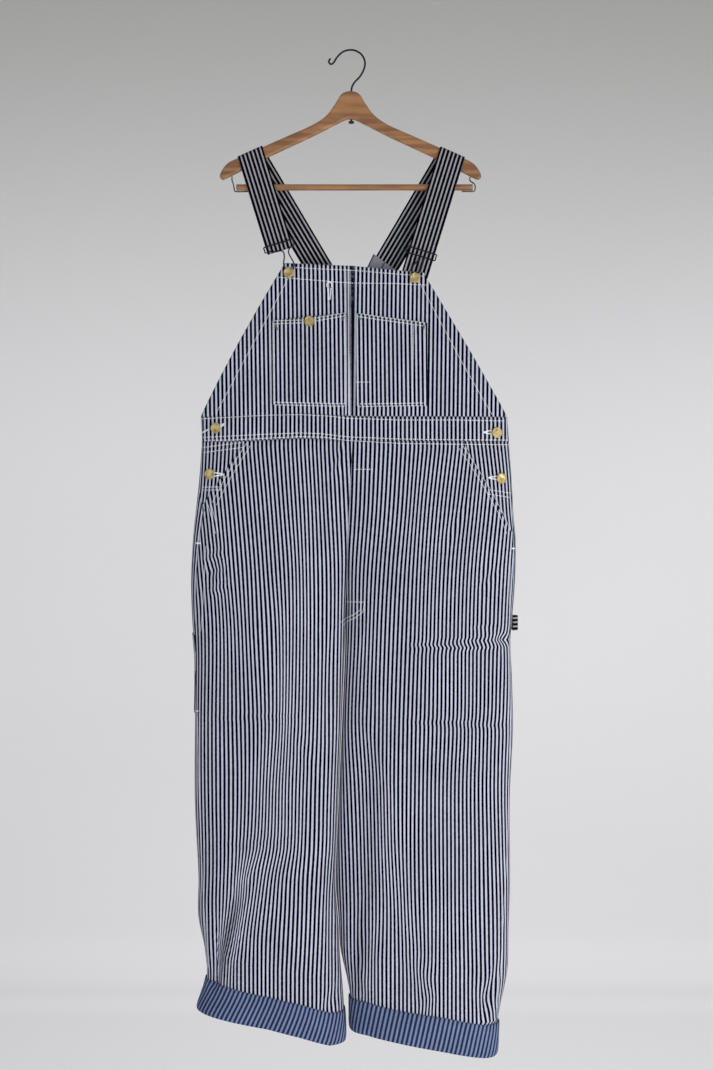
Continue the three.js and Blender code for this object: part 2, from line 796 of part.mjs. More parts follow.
// Rows across it lie square to its run, but over the arm they lie along the arm.
function strapPoint(frame, share, across, lift) {
  const runU = frame.backU - frame.frontU;
  const runW = frame.backW - frame.frontW;
  const half = frame.turn / 2;
  const beyond = Math.abs(frame.frontW + runW * share) - half;
  const lean = 1 - smooth((beyond - STRAP_LEAN_START) / STRAP_LEAN_RUN);
  const shift = lean * across * runU / runW;
  const u = frame.frontU + runU * share + (across * runW + shift * runU) / frame.length;
  const w = frame.frontW + runW * share + (shift * runW - across * runU) / frame.length;
  const radius = frame.inner + STRAP_THICK / 2 + lift;
  const point = frame.origin.clone().addScaledVector(frame.along, u);
  if (Math.abs(w) <= half) {
    const angle = w / half * Math.PI / 2;
    point.addScaledVector(frame.down, ARM_THICK / 2 - radius * Math.cos(angle));
    point.y = radius * Math.sin(angle);
    return point;
  }
  const drop = Math.abs(w) - half;
  point.addScaledVector(frame.down, ARM_THICK / 2 + drop);
  const way = Math.sign(w);
  const reach = (way < 0 ? -frame.frontW : frame.backW) - half;
  const target = way < 0 ? -STRAP_FOOT_Y : STRAP_BACK_Y;
  const rest = frame.inner + STRAP_THICK / 2;
  point.y = way * (mix(rest, target, clamp(drop / reach, 0, 1.4)) + lift);
  return point;
}

// Shares of the strap's length where a row of its mesh lies, close together over the arm.
function strapShares(frame) {
  const runW = frame.backW - frame.frontW;
  const shareAt = (w) => (w - frame.frontW) / runW;
  const bend = frame.turn / 2 + STRAP_LEAN_START;
  const shares = [];
  for (let i = 0; i < 5; i += 1) {
    shares.push(mix(0, shareAt(-bend), i / 5));
  }
  for (let i = 0; i < 16; i += 1) {
    shares.push(shareAt(mix(-bend, bend, i / 16)));
  }
  for (let i = 0; i <= 6; i += 1) {
    shares.push(mix(shareAt(bend), 1, i / 6));
  }
  return shares;
}

function foldRadius() {
  return FITTING_WIRE + 2 * LAY_GAP + STRAP_THICK / 2;
}

// At the slide the strap either folds round the lower wire and up behind, or hangs on as a tail.
function strapFoot(frame, spec) {
  const stations = [];
  const { length } = frame;
  if (!spec.folded) {
    for (const part of [1, 0.5]) {
      stations.push({ share: -spec.tail * part / length, lift: -TAIL_DROP * part });
    }
    return stations;
  }
  const radius = foldRadius();
  for (let i = 0; i <= 2; i += 1) {
    stations.push({ share: mix(spec.tail, 0, i / 2) / length, lift: -2 * radius });
  }
  for (let i = 1; i < 6; i += 1) {
    const angle = Math.PI * i / 6;
    stations.push({
      share: -radius * Math.sin(angle) / length,
      lift: -radius - radius * Math.cos(angle),
    });
  }
  return stations;
}

// Sections of a ribbon: at each station four corners, from the two faces and the two edges.
function ribbonGeometry(sections) {
  const points = sections.flat();
  const count = sections[0].length;
  const triangles = [];
  for (let i = 0; i < sections.length - 1; i += 1) {
    for (let j = 0; j < count; j += 1) {
      const k = (j + 1) % count;
      faceQuad(triangles, i * count + j, i * count + k, (i + 1) * count + k, (i + 1) * count + j);
    }
  }
  const last = (sections.length - 1) * count;
  for (let j = 1; j < count - 1; j += 1) {
    triangles.push([0, j + 1, j], [last, last + j, last + j + 1]);
  }
  return outwardGeometry(points, triangles);
}

function buildStraps() {
  for (const [name, spec] of Object.entries(STRAPS)) {
    const frame = strapFrame(spec);
    const stations = strapFoot(frame, spec);
    for (const share of strapShares(frame)) {
      stations.push({ share, lift: 0 });
    }
    const middle = (across) => stations.map(({ share, lift }) => strapPoint(frame, share, across, lift));
    const edges = [middle(-STRAP_WIDTH / 2), middle(STRAP_WIDTH / 2)];
    const sections = stations.map((station, i) => {
      const before = Math.max(i - 1, 0);
      const after = Math.min(i + 1, stations.length - 1);
      const run = edges[0][after].clone().sub(edges[0][before]);
      const width = edges[1][i].clone().sub(edges[0][i]);
      const normal = run.cross(width).normalize().multiplyScalar(STRAP_THICK / 2);
      return [
        edges[0][i].clone().add(normal),
        edges[1][i].clone().add(normal),
        edges[1][i].clone().sub(normal),
        edges[0][i].clone().sub(normal),
      ];
    });
    addPiece(`strap_${name}`, ribbonGeometry(sections), 'twill');
  }
}

// The reinforcing patch at the straps' joint, its wrong side to the front.
function buildStrapPatch() {
  const shape = new THREE.Shape(JOINT_CORNERS.map(([x, z]) => new THREE.Vector2(x, z)));
  const geometry = new THREE.ExtrudeGeometry(shape, { depth: PATCH_WALL, bevelEnabled: false });
  geometry.rotateX(Math.PI / 2);
  const mesh = addPiece('strap_patch', geometry, 'reverse');
  mesh.position.y = JOINT_FRONT_Y + PATCH_WALL;
}

// A round wire swept along points, open at its ends or closed into a loop.
function wireGeometry(points, radius, { steps = 24, sides = 6, closed = false } = {}) {
  const curve = new THREE.CatmullRomCurve3(points, closed, 'centripetal');
  const shape = new THREE.Shape();
  for (let i = 0; i < sides; i += 1) {
    const angle = 2 * Math.PI * i / sides;
    const place = [radius * Math.cos(angle), radius * Math.sin(angle)];
    if (i === 0) {
      shape.moveTo(...place);
    } else {
      shape.lineTo(...place);
    }
  }
  shape.closePath();
  return new THREE.ExtrudeGeometry(shape, { steps, extrudePath: curve });
}

// Wire slides: the upper wire crosses in front of the strap and the lower one under its fold.
function buildSlides() {
  for (const [name, spec] of Object.entries(STRAPS)) {
    const frame = strapFrame(spec);
    const reach = STRAP_WIDTH / 2 + FITTING_WIRE + SLIDE_ROOM;
    const layer = STRAP_THICK / 2 + LAY_GAP + FITTING_WIRE;
    const low = spec.folded ? -foldRadius() : layer;
    const halfway = (low + layer) / 2;
    const corners = [
      [0, -1, low],
      [0, 1, low],
      [spec.slide / 2, SLIDE_BOW, halfway],
      [spec.slide, 1, layer],
      [spec.slide, -1, layer],
      [spec.slide / 2, -SLIDE_BOW, halfway],
    ];
    const points = [];
    corners.forEach(([up, across, lift], i) => {
      const [nextUp, nextAcross, nextLift] = corners[(i + 1) % corners.length];
      const parts = across * nextAcross < 0 ? 4 : 1;
      for (let k = 0; k < parts; k += 1) {
        const t = k / parts;
        const share = mix(up, nextUp, t) / frame.length;
        points.push(strapPoint(frame, share, reach * mix(across, nextAcross, t), mix(lift, nextLift, t)));
      }
    });
    const geometry = closedWire(points, FITTING_WIRE);
    addPiece(`slide_${name}`, geometry, 'blackWire');
  }
}

// A closed wire loop, as rings of points joined end to start.
function closedWire(points, radius) {
  const sides = 6;
  const curve = new THREE.CatmullRomCurve3(points, true, 'centripetal');
  const steps = 32;
  const frames = curve.computeFrenetFrames(steps, true);
  const rings = [];
  for (let i = 0; i < steps; i += 1) {
    const centre = curve.getPointAt(i / steps);
    const ring = [];
    for (let j = 0; j < sides; j += 1) {
      const angle = 2 * Math.PI * j / sides;
      ring.push(centre.clone()
        .addScaledVector(frames.normals[i], radius * Math.cos(angle))
        .addScaledVector(frames.binormals[i], radius * Math.sin(angle)));
    }
    rings.push(ring);
  }
  return ringGeometry(rings);
}

// Wire loops from the slides down round the bib buttons, through points in the front view.
const LOOP_COLUMNS = ['x', 'z', 'y'];
const BUTTON_LOOPS = {
  right: readTable(LOOP_COLUMNS, [
    [-134, -333.5, -13.5],
    [-124, -334.1, -13.5],
    [-111, -332.5, -14],
    [-107.6, -341, -14.8],
    [-108.6, -354, -15.8],
    [-105.2, -366, -15.8],
    [-100, -374.3, -15.8],
    [-94.8, -366, -15.8],
    [-91.4, -354, -15.8],
    [-100.5, -336, -14.8],
    [-98, -326.9, -14],
    [-92, -324.5, -13.5],
  ]),
  left: readTable(LOOP_COLUMNS, [
    [115, -343.9, -13.7],
    [110, -350, -14.6],
    [103.6, -357, -15.6],
    [101, -368, -15.8],
    [101.8, -376, -15.8],
    [106.6, -382.2, -15.8],
    [111.4, -376, -15.8],
    [113.2, -368, -15.8],
    [118, -357, -15.4],
    [120, -350, -14.4],
    [119.8, -345.2, -13.7],
  ]),
};

function buildButtonLoops() {
  for (const [name, rows] of Object.entries(BUTTON_LOOPS)) {
    const points = rows.map(({ x, y, z }) => new THREE.Vector3(x, y, z));
    addPiece(`button_loop_${name}`, wireGeometry(points, FITTING_WIRE, { steps: 30 }), 'blackWire');
  }
}

// A tack button on its shank; rise is the shank's length under the head.
function buttonGeometry(rise) {
  const profile = [
    [0, 0],
    [SHANK_RADIUS, 0],
    [SHANK_RADIUS, rise],
    [BUTTON_RADIUS - 1, rise],
    [BUTTON_RADIUS, rise + 1.1],
    [BUTTON_RADIUS - 0.8, rise + 2.1],
    [BUTTON_RADIUS - 3, rise + 2.1],
    [0, rise + 1.5],
  ];
  return new THREE.LatheGeometry(profile.map(([r, h]) => new THREE.Vector2(r, h)), 16);
}

// The place and normal of the front's outside at a point of the front view.
function frontAt(x, z) {
  if (z > WAIST_TOP) {
    return bibPoint('front', x, z);
  }
  const leg = x < centreAt(z) ? 'right' : 'left';
  const line = legLine(leg, 'front', z);
  const point = legPoint(leg, 'front', z, line, arcAtX(line, x));
  if (z > WAIST_SEAM) {
    point.position.addScaledVector(point.normal, BAND_EXTRA);
  }
  return point;
}

function buildButtons() {
  for (const { name, x, z, rise } of BUTTONS) {
    const { position, normal } = frontAt(x, z);
    const layer = name === 'button_chest' ? LAY_GAP + PATCH_WALL : 0;
    const mesh = addPiece(name, buttonGeometry(rise), 'brass');
    mesh.position.copy(position).addScaledVector(normal, layer + BUTTON_SEAT);
    mesh.quaternion.setFromUnitVectors(new THREE.Vector3(0, 1, 0), normal);
  }
}

// The hammer loop leaves the left outseam, stands off the side and is sewn to the back leg.
function buildHammerLoop() {
  const z = (HAMMER_TOP + HAMMER_BOTTOM) / 2;
  const back = legLine('left', 'back', z);
  const onLeg = (arc) => {
    const { position, normal } = legPoint('left', 'back', z, back, arc);
    position.addScaledVector(normal, STRAP_THICK / 2 + 3 * LAY_GAP);
    return new THREE.Vector2(position.x, position.y);
  };
  const points = [
    onLeg(HAMMER_START),
    ...HAMMER_CLEAR.map(([x, y]) => new THREE.Vector2(x, y)),
    ...HAMMER_SEWN.map(onLeg),
  ];
  const path = new THREE.SplineCurve(points).getSpacedPoints(16);
  const sections = path.map((point, i) => {
    const before = path[Math.max(i - 1, 0)];
    const after = path[Math.min(i + 1, path.length - 1)];
    const run = after.clone().sub(before).normalize().multiplyScalar(STRAP_THICK / 2);
    const corner = (way, height) => new THREE.Vector3(point.x + way * run.y, point.y - way * run.x, height);
    return [
      corner(1, HAMMER_BOTTOM), corner(1, HAMMER_TOP), corner(-1, HAMMER_TOP), corner(-1, HAMMER_BOTTOM),
    ];
  });
  addPiece('hammer_loop', ribbonGeometry(sections), 'twill');
}

// Half of the hanger's outline from the top of the crown round the tip to the middle below.
function hangerOutline() {
  const crown = [[0, -66.5], [10, -68.5], [17, -74], [27, -90], [40, -107]];
  const tip = [[205, -188], [213, -199], [215.5, -208], [211, -212.5], [201, -209]];
  const under = [[138, -177], [60, -140.5], [24, -122], [0, -113]];
  const half = [...crown, [ARM_INNER.x, ARM_INNER.z], [ARM_OUTER.x, ARM_OUTER.z], ...tip, ...under];
  const mirrored = half.slice(1, -1).reverse().map(([x, z]) => [-x, z]);
  return [...half, ...mirrored].map(([x, z]) => new THREE.Vector2(x, z));
}

const HOOK_STEM_X = 2.1;
const BORE = { length: 90, z: -95 };
const NUT = { radius: 4.5, height: 3, bottom: -119.4 };

function buildHangerBody() {
  const shape = new THREE.Shape(hangerOutline());
  const flat = ARM_THICK - 2 * ARM_EDGE_ROUND;
  const wood = new THREE.ExtrudeGeometry(shape, {
    depth: flat,
    bevelSize: ARM_EDGE_ROUND,
    bevelThickness: ARM_EDGE_ROUND,
    bevelOffset: -ARM_EDGE_ROUND,
    bevelSegments: 3,
  });
  wood.translate(0, 0, -flat / 2);
  wood.rotateX(Math.PI / 2);
  const bore = new THREE.CylinderGeometry(HOOK_WIRE + SEAM_GAP, HOOK_WIRE + SEAM_GAP, BORE.length, 12);
  bore.rotateX(Math.PI / 2);
  bore.translate(HOOK_STEM_X - HANGER_X, 0, BORE.z);
  const mesh = addPiece('hanger_body', cutHole(wood, bore), 'wood');
  mesh.position.x = HANGER_X;
}

function buildHangerHook() {
  const route = [
    [HOOK_STEM_X, -119], [HOOK_STEM_X, -90], [HOOK_STEM_X, -72], [HOOK_STEM_X, -66], [4, -57.5],
    [8.6, -50.5], [16.5, -42], [23, -30], [24.6, -18], [19.5, -6.5], [9.5, 0.3], [-0.5, HOOK_WIRE],
    [-11.6, -1.4], [-21, -10], [-27, -19.4], [-31.5, -21.8], [-35, -18], [-32.5, -12.5],
  ];
  const points = route.map(([x, z]) => new THREE.Vector3(x, 0, z));
  addPiece('hanger_hook', wireGeometry(points, HOOK_WIRE, { steps: 46, sides: 8 }), 'blackWire');
  const nut = new THREE.Shape();
  nut.absarc(0, 0, NUT.radius, 0, 2 * Math.PI, false);
  const hole = new THREE.Path();
  hole.absarc(0, 0, HOOK_WIRE + SEAM_GAP, 0, 2 * Math.PI, true);
  nut.holes.push(hole);
  const settings = { depth: NUT.height, bevelEnabled: false, curveSegments: 6 };
  const mesh = addPiece('hanger_nut', new THREE.ExtrudeGeometry(nut, settings), 'blackWire');
  mesh.position.set(HOOK_STEM_X, 0, NUT.bottom);
}

function buildHangerBar() {
  const geometry = new THREE.CylinderGeometry(BAR_RADIUS, BAR_RADIUS, BAR_TO - BAR_FROM, 16);
  geometry.rotateZ(Math.PI / 2);
  const mesh = addPiece('hanger_bar', geometry, 'wood');
  mesh.position.set((BAR_FROM + BAR_TO) / 2, 0, BAR_Z);
  const under = BAR_Z - BAR_RADIUS - SEAM_GAP - FITTING_WIRE;
  const routes = {
    right: [[-194.5, -207.2], [-194.5, -213], [-192.6, -219], [-191, -226], [-188, under], [-166, under]],
    left: [[197.8, -208], [198, -214], [205.4, -220], [206, -229], [202, under], [184, under]],
  };
  for (const [name, route] of Object.entries(routes)) {
    const points = route.map(([x, z]) => new THREE.Vector3(x, 0, z));
    addPiece(`hanger_wire_${name}`, wireGeometry(points, FITTING_WIRE, { steps: 18 }), 'steelWire');
  }
}

buildBib();
buildChestPockets();
buildWaistband();
buildBackBib();
buildLegs();
buildRulePocket();
buildCuffs();
buildStraps();
buildStrapPatch();
buildSlides();
buildButtonLoops();
buildButtons();
buildHammerLoop();
buildHangerBody();
buildHangerHook();
buildHangerBar();

export default garment;
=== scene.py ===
"""Striped bib dungarees on a wooden hanger: cloth, sewing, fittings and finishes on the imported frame."""

import logging
import math
from dataclasses import dataclass, field
from enum import Enum

import bmesh
import bpy
import numpy as np
from mathutils import Matrix, Vector
from mathutils.bvhtree import BVHTree


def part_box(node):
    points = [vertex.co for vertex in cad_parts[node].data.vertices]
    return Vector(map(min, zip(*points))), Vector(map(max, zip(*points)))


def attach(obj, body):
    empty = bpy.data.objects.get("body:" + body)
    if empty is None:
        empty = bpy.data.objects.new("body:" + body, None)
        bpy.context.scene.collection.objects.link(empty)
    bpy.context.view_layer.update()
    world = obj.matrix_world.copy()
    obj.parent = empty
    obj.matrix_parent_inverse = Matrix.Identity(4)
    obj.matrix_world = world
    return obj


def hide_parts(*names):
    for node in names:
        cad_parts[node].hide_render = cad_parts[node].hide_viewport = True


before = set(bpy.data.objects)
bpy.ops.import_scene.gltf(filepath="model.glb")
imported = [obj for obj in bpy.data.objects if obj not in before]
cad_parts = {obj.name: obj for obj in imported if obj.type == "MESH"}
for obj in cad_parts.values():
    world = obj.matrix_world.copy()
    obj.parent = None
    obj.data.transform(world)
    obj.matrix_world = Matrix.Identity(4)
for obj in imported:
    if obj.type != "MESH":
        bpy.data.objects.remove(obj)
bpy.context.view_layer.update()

LOG = logging.getLogger("dungarees")

# Every size below is in millimetres; meshes are made in metres.
MM = 0.001
POINT = 1.65
PICTURE_MIDDLE = 350.0
PICTURE_TOP = 51.5
CAMERA_X = 10.7
CAMERA_Y = -2450.0
CAMERA_Z = -798.0

WALL = 1.6
BAND_EXTRA = 0.9
SEAM_GAP = 0.3
LAY_GAP = 0.4
PATCH_WALL = 1.2
SECTION_POWER = 2.4
FINE_STEPS = 192
PERIOD = 6.9

BIB_TOP_RIGHT = -352.0
BIB_TOP_CENTRE = -357.0
BIB_TOP_LEFT = -368.0
BACK_TOP = -372.0
WAIST_TOP = -604.0
WAIST_SEAM = -644.5
CROTCH = -938.0
TRUNK_HALF = 252.0

STRAP_WIDTH = 44.0
STRAP_THICK = 2.2
ARM_THICK = 11.0
ARM_EDGE_ROUND = 4.5
HANGER_X = 0.8
ARM_INNER = (63.0, -122.5)
ARM_OUTER = (194.0, -180.7)
BAR_Z = -225.0
BAR_RADIUS = 5.2
HOOK_WIRE = 1.6
FITTING_WIRE = 1.1
STRAP_FOOT_Y = -11.0
STRAP_BACK_Y = 18.4
BUTTON_RADIUS = 8.7


class Leg(Enum):
    """The wearer's right side, at -X, and left side, at +X."""

    RIGHT = "right"
    LEFT = "left"

    @property
    def side(self) -> int:
        """Sign of this side's X."""
        return -1 if self is Leg.RIGHT else 1


class Face(Enum):
    """Front or back of the garment; the value is the sign of Y."""

    FRONT = -1
    BACK = 1


class Thread(Enum):
    """Colour of a sewing thread."""

    WHITE = "white"
    GREEN = "green"


def clamp(value: float, low: float, high: float) -> float:
    """Value held between two limits."""
    return min(high, max(low, value))


def mix(a, b, t):
    """Value at the share t of the way from a to b."""
    return a + (b - a) * t


def smooth(t):
    """Smooth step from 0 to 1, for a number or an array."""
    u = np.clip(t, 0.0, 1.0)
    return u * u * (3.0 - 2.0 * u)


def signed_power(value, power: float):
    """Power of a number's size with its sign kept."""
    return np.sign(value) * np.abs(value) ** power


@dataclass(frozen=True)
class Table:
    """Rows of named columns, the first of them a height that falls from row to row."""

    names: tuple[str, ...]
    rows: tuple[tuple[float, ...], ...]

    def column(self, name: str) -> np.ndarray:
        """All values of one column."""
        return np.array([row[self.names.index(name)] for row in self.rows], float)

    def at(self, name: str, z: float) -> float:
        """Value of a column at a height, on a smooth curve through the rows.

        Args:
            name: the column's name.
            z: the height.
        Returns:
            The value there.
        """
        zs = self.column(self.names[0])
        values = self.column(name)
        last = len(zs) - 1
        i = 0
        while i < last - 1 and z < zs[i + 1]:
            i += 1
        before, after = max(i - 1, 0), min(i + 2, last)
        span = zs[i + 1] - zs[i]
        t = clamp((z - zs[i]) / span, 0.0, 1.0)
        slope_a = (values[i + 1] - values[before]) / (zs[i + 1] - zs[before])
        slope_b = (values[after] - values[i]) / (zs[after] - zs[i])
        t2, t3 = t * t, t * t * t
        return (
            (2 * t3 - 3 * t2 + 1) * values[i]
            + (t3 - 2 * t2 + t) * span * slope_a
            + (3 * t2 - 2 * t3) * values[i + 1]
            + (t3 - t2) * span * slope_b
        )


CENTRE = Table(
    ("z", "x", "part"),
    (
        (BIB_TOP_RIGHT, 7, 0), (WAIST_SEAM, 4, 0), (-707, 1, 0), (-806, -4, 0), (CROTCH, -7, 0),
        (-1003, -9, 0.4), (-1235, -19, 0.4), (-1367, -24, 0.4), (-1433, -19, 0.4), (-1482, -16.5, 0.6),
        (-1532, -9, 3.5), (-1570, -4.5, 5.5), (-1660, -3, 5.5),
    ),
)

INNER_REACH = 115.0
LEG_COLUMNS = ("z", "outer", "front", "back", "seam", "slope")
LEG_ROWS = {
    Leg.RIGHT: Table(
        LEG_COLUMNS,
        (
            (WAIST_TOP, -246, 23.5, 22, 3, 0), (WAIST_SEAM, -244.5, 25, 24, 3, 0),
            (-707, -248.5, 31, 30, 3, 0), (-760, -254.5, 36, 36, 24, 0), (-806, -259, 39, 40, 24, 0),
            (-872, -262, 42, 42, 24, 0), (CROTCH, -260, 43, 43, 20, 0), (-1003, -255, 42, 42, 12, 0),
            (-1103, -255.5, 41, 41, 6, 0), (-1235, -255.5, 42, 41, 6, 0),
            (-1367, -249.5, 45, 42, 6, 0.05), (-1433, -250, 47, 43, 6, 0.1),
            (-1498, -239, 48, 44, 6, 0.17), (-1548, -236, 50, 45, 6, 0.2),
            (-1598, -250.5, 51, 46, 6, 0.2),
        ),
    ),
    Leg.LEFT: Table(
        LEG_COLUMNS,
        (
            (WAIST_TOP, 259, 23.5, 22, 3, 0), (WAIST_SEAM, 262, 25, 24, 3, 0),
            (-707, 266.5, 31, 30, 3, 0), (-760, 269, 36, 36, 11, 0), (-806, 273, 39, 40, 15, 0),
            (-872, 272, 42, 42, 15, 0), (CROTCH, 267, 43, 43, 14, 0), (-971, 264.5, 42, 42, 10, 0),
            (-1040, 267, 41, 41, 5, 0), (-1120, 268.5, 41, 41, 5, 0), (-1235, 263, 42, 41, 5, 0),
            (-1367, 263.5, 45, 42, 5, 0.04), (-1433, 261, 47, 43, 5, 0.08),
            (-1500, 259, 49, 44, 5, 0.13), (-1585, 243, 51, 45, 5, 0.18),
            (-1637, 239, 52, 46, 5, 0.19),
        ),
    ),
}
HEM = {Leg.RIGHT: -1598.0, Leg.LEFT: -1637.0}
CUFF_HEIGHT = {Leg.RIGHT: 50.0, Leg.LEFT: 52.0}
HEM_WAVE_TOP = 190.0
HEM_WAVE_FADE = 130.0
HEM_WAVES = {
    Leg.RIGHT: ((-237.0, 0.0), (-131.0, 3.0), (-80.0, -1.0), (-33.0, -8.5), (-11.0, -5.0)),
    Leg.LEFT: ((2.0, 6.0), (27.0, 11.0), (80.0, 12.0), (151.0, 12.0), (221.0, 9.0), (245.0, 10.0)),
}
MOUTHS = {Leg.RIGHT: (-170.0, -240.0, -748.0), Leg.LEFT: (184.8, 262.0, -790.0)}

# Where chosen dark stripes of the front legs run: number of the stripe, and its X at each height.
STRIPE_RIGHT = Table(
    ("z", "6", "11", "16", "21", "26", "31", "36"),
    (
        (-657.5, -248, -216, -179, -145, -109, -75, -42),
        (-756.5, -238, -206, -171, -136, -102, -69, -37),
        (-855.5, -227, -198, -163, -129, -95, -66, -32),
        (-954.5, -220, -190, -159, -122, -94, -65, -32),
        (-1103, -221, -187, -152, -121, -97, -67, -34.5),
        (-1202, -221, -185, -153.5, -127, -101, -71, -37),
        (-1301, -219.5, -187, -158.5, -131, -103, -74, -39),
        (-1350.5, -219.5, -189, -168, -140.5, -111, -77.5, -41),
        (-1400, -221, -193, -175, -147, -114, -79, -44),
        (-1449.5, -221, -202, -181.5, -152, -117, -81, -46),
        (-1499, -221, -214, -186.5, -152.5, -119, -84, -48),
    ),
)
STRIPE_LEFT = Table(
    ("z", "44", "49", "54", "58", "64", "69", "74", "79"),
    (
        (-657.5, 26.5, 63, 99, 127, 168, 201, 232, 264),
        (-756.5, 23, 57.5, 92.5, 117, 156.5, 190.5, 222.5, 256),
        (-855.5, 16.5, 49.5, 84, 110.5, 148.5, 181.5, 213, 247.5),
        (-954.5, 14.5, 44.5, 79, 107, 145, 178, 209.5, 243),
        (-1103, 8.5, 41, 74, 102, 143.5, 177, 208, 240),
        (-1202, 13, 44.5, 72.5, 100.5, 140.5, 173, 205.5, 237.5),
        (-1301, 16.5, 47.5, 74, 99.5, 140.5, 173, 206, 239.5),
        (-1400, 19.5, 49.5, 79, 101, 141.5, 173, 206.5, 242),
        (-1499, 20, 46.5, 81, 107, 140.5, 174.5, 209, 242.5),
    ),
)
STRIPES = {Leg.RIGHT: STRIPE_RIGHT, Leg.LEFT: STRIPE_LEFT}

BIB_CORNERS = {
    Leg.RIGHT: {"hem_x": -107, "hem_z": BIB_TOP_RIGHT, "corner_x": -119, "corner_z": -372, "bow": 3},
    Leg.LEFT: {"hem_x": 121, "hem_z": BIB_TOP_LEFT, "corner_x": 124, "corner_z": -374, "bow": 1},
}
BIB_BREAK = 8 / 9
CHEST_POCKETS = {
    Leg.RIGHT: {"x0": -127.7, "x1": -6.0, "bottom": -586.5, "top0": -447.0, "top1": -435.0},
    Leg.LEFT: {"x0": 10.5, "x1": 126.5, "bottom": -586.5, "top0": -435.4, "top1": -450.5},
}


@dataclass(frozen=True)
class Fold:
    """A soft ridge or crease from one point to another of a face, seen from the front."""

    x0: float
    z0: float
    x1: float
    z1: float
    width: float
    height: float
    shift: float = 0.0

    def weight(self, x: np.ndarray, z: np.ndarray) -> np.ndarray:
        """Share of the fold at places of the front view, 1 on its line and 0 far from it."""
        run_x, run_z = self.x1 - self.x0, self.z1 - self.z0
        along = ((x - self.x0) * run_x + (z - self.z0) * run_z) / (run_x**2 + run_z**2)
        nearest = np.clip(along, 0.0, 1.0)
        off = np.hypot(x - self.x0 - nearest * run_x, z - self.z0 - nearest * run_z)
        taper = 0.35 + 0.65 * np.sin(math.pi * nearest)
        return taper * np.exp(-((off / self.width) ** 2))


def folds(rows: tuple[tuple[float, ...], ...]) -> tuple[Fold, ...]:
    """Folds from rows of x0, z0, x1, z1, width, height and how far the stripes are moved."""
    return tuple(Fold(*row) for row in rows)


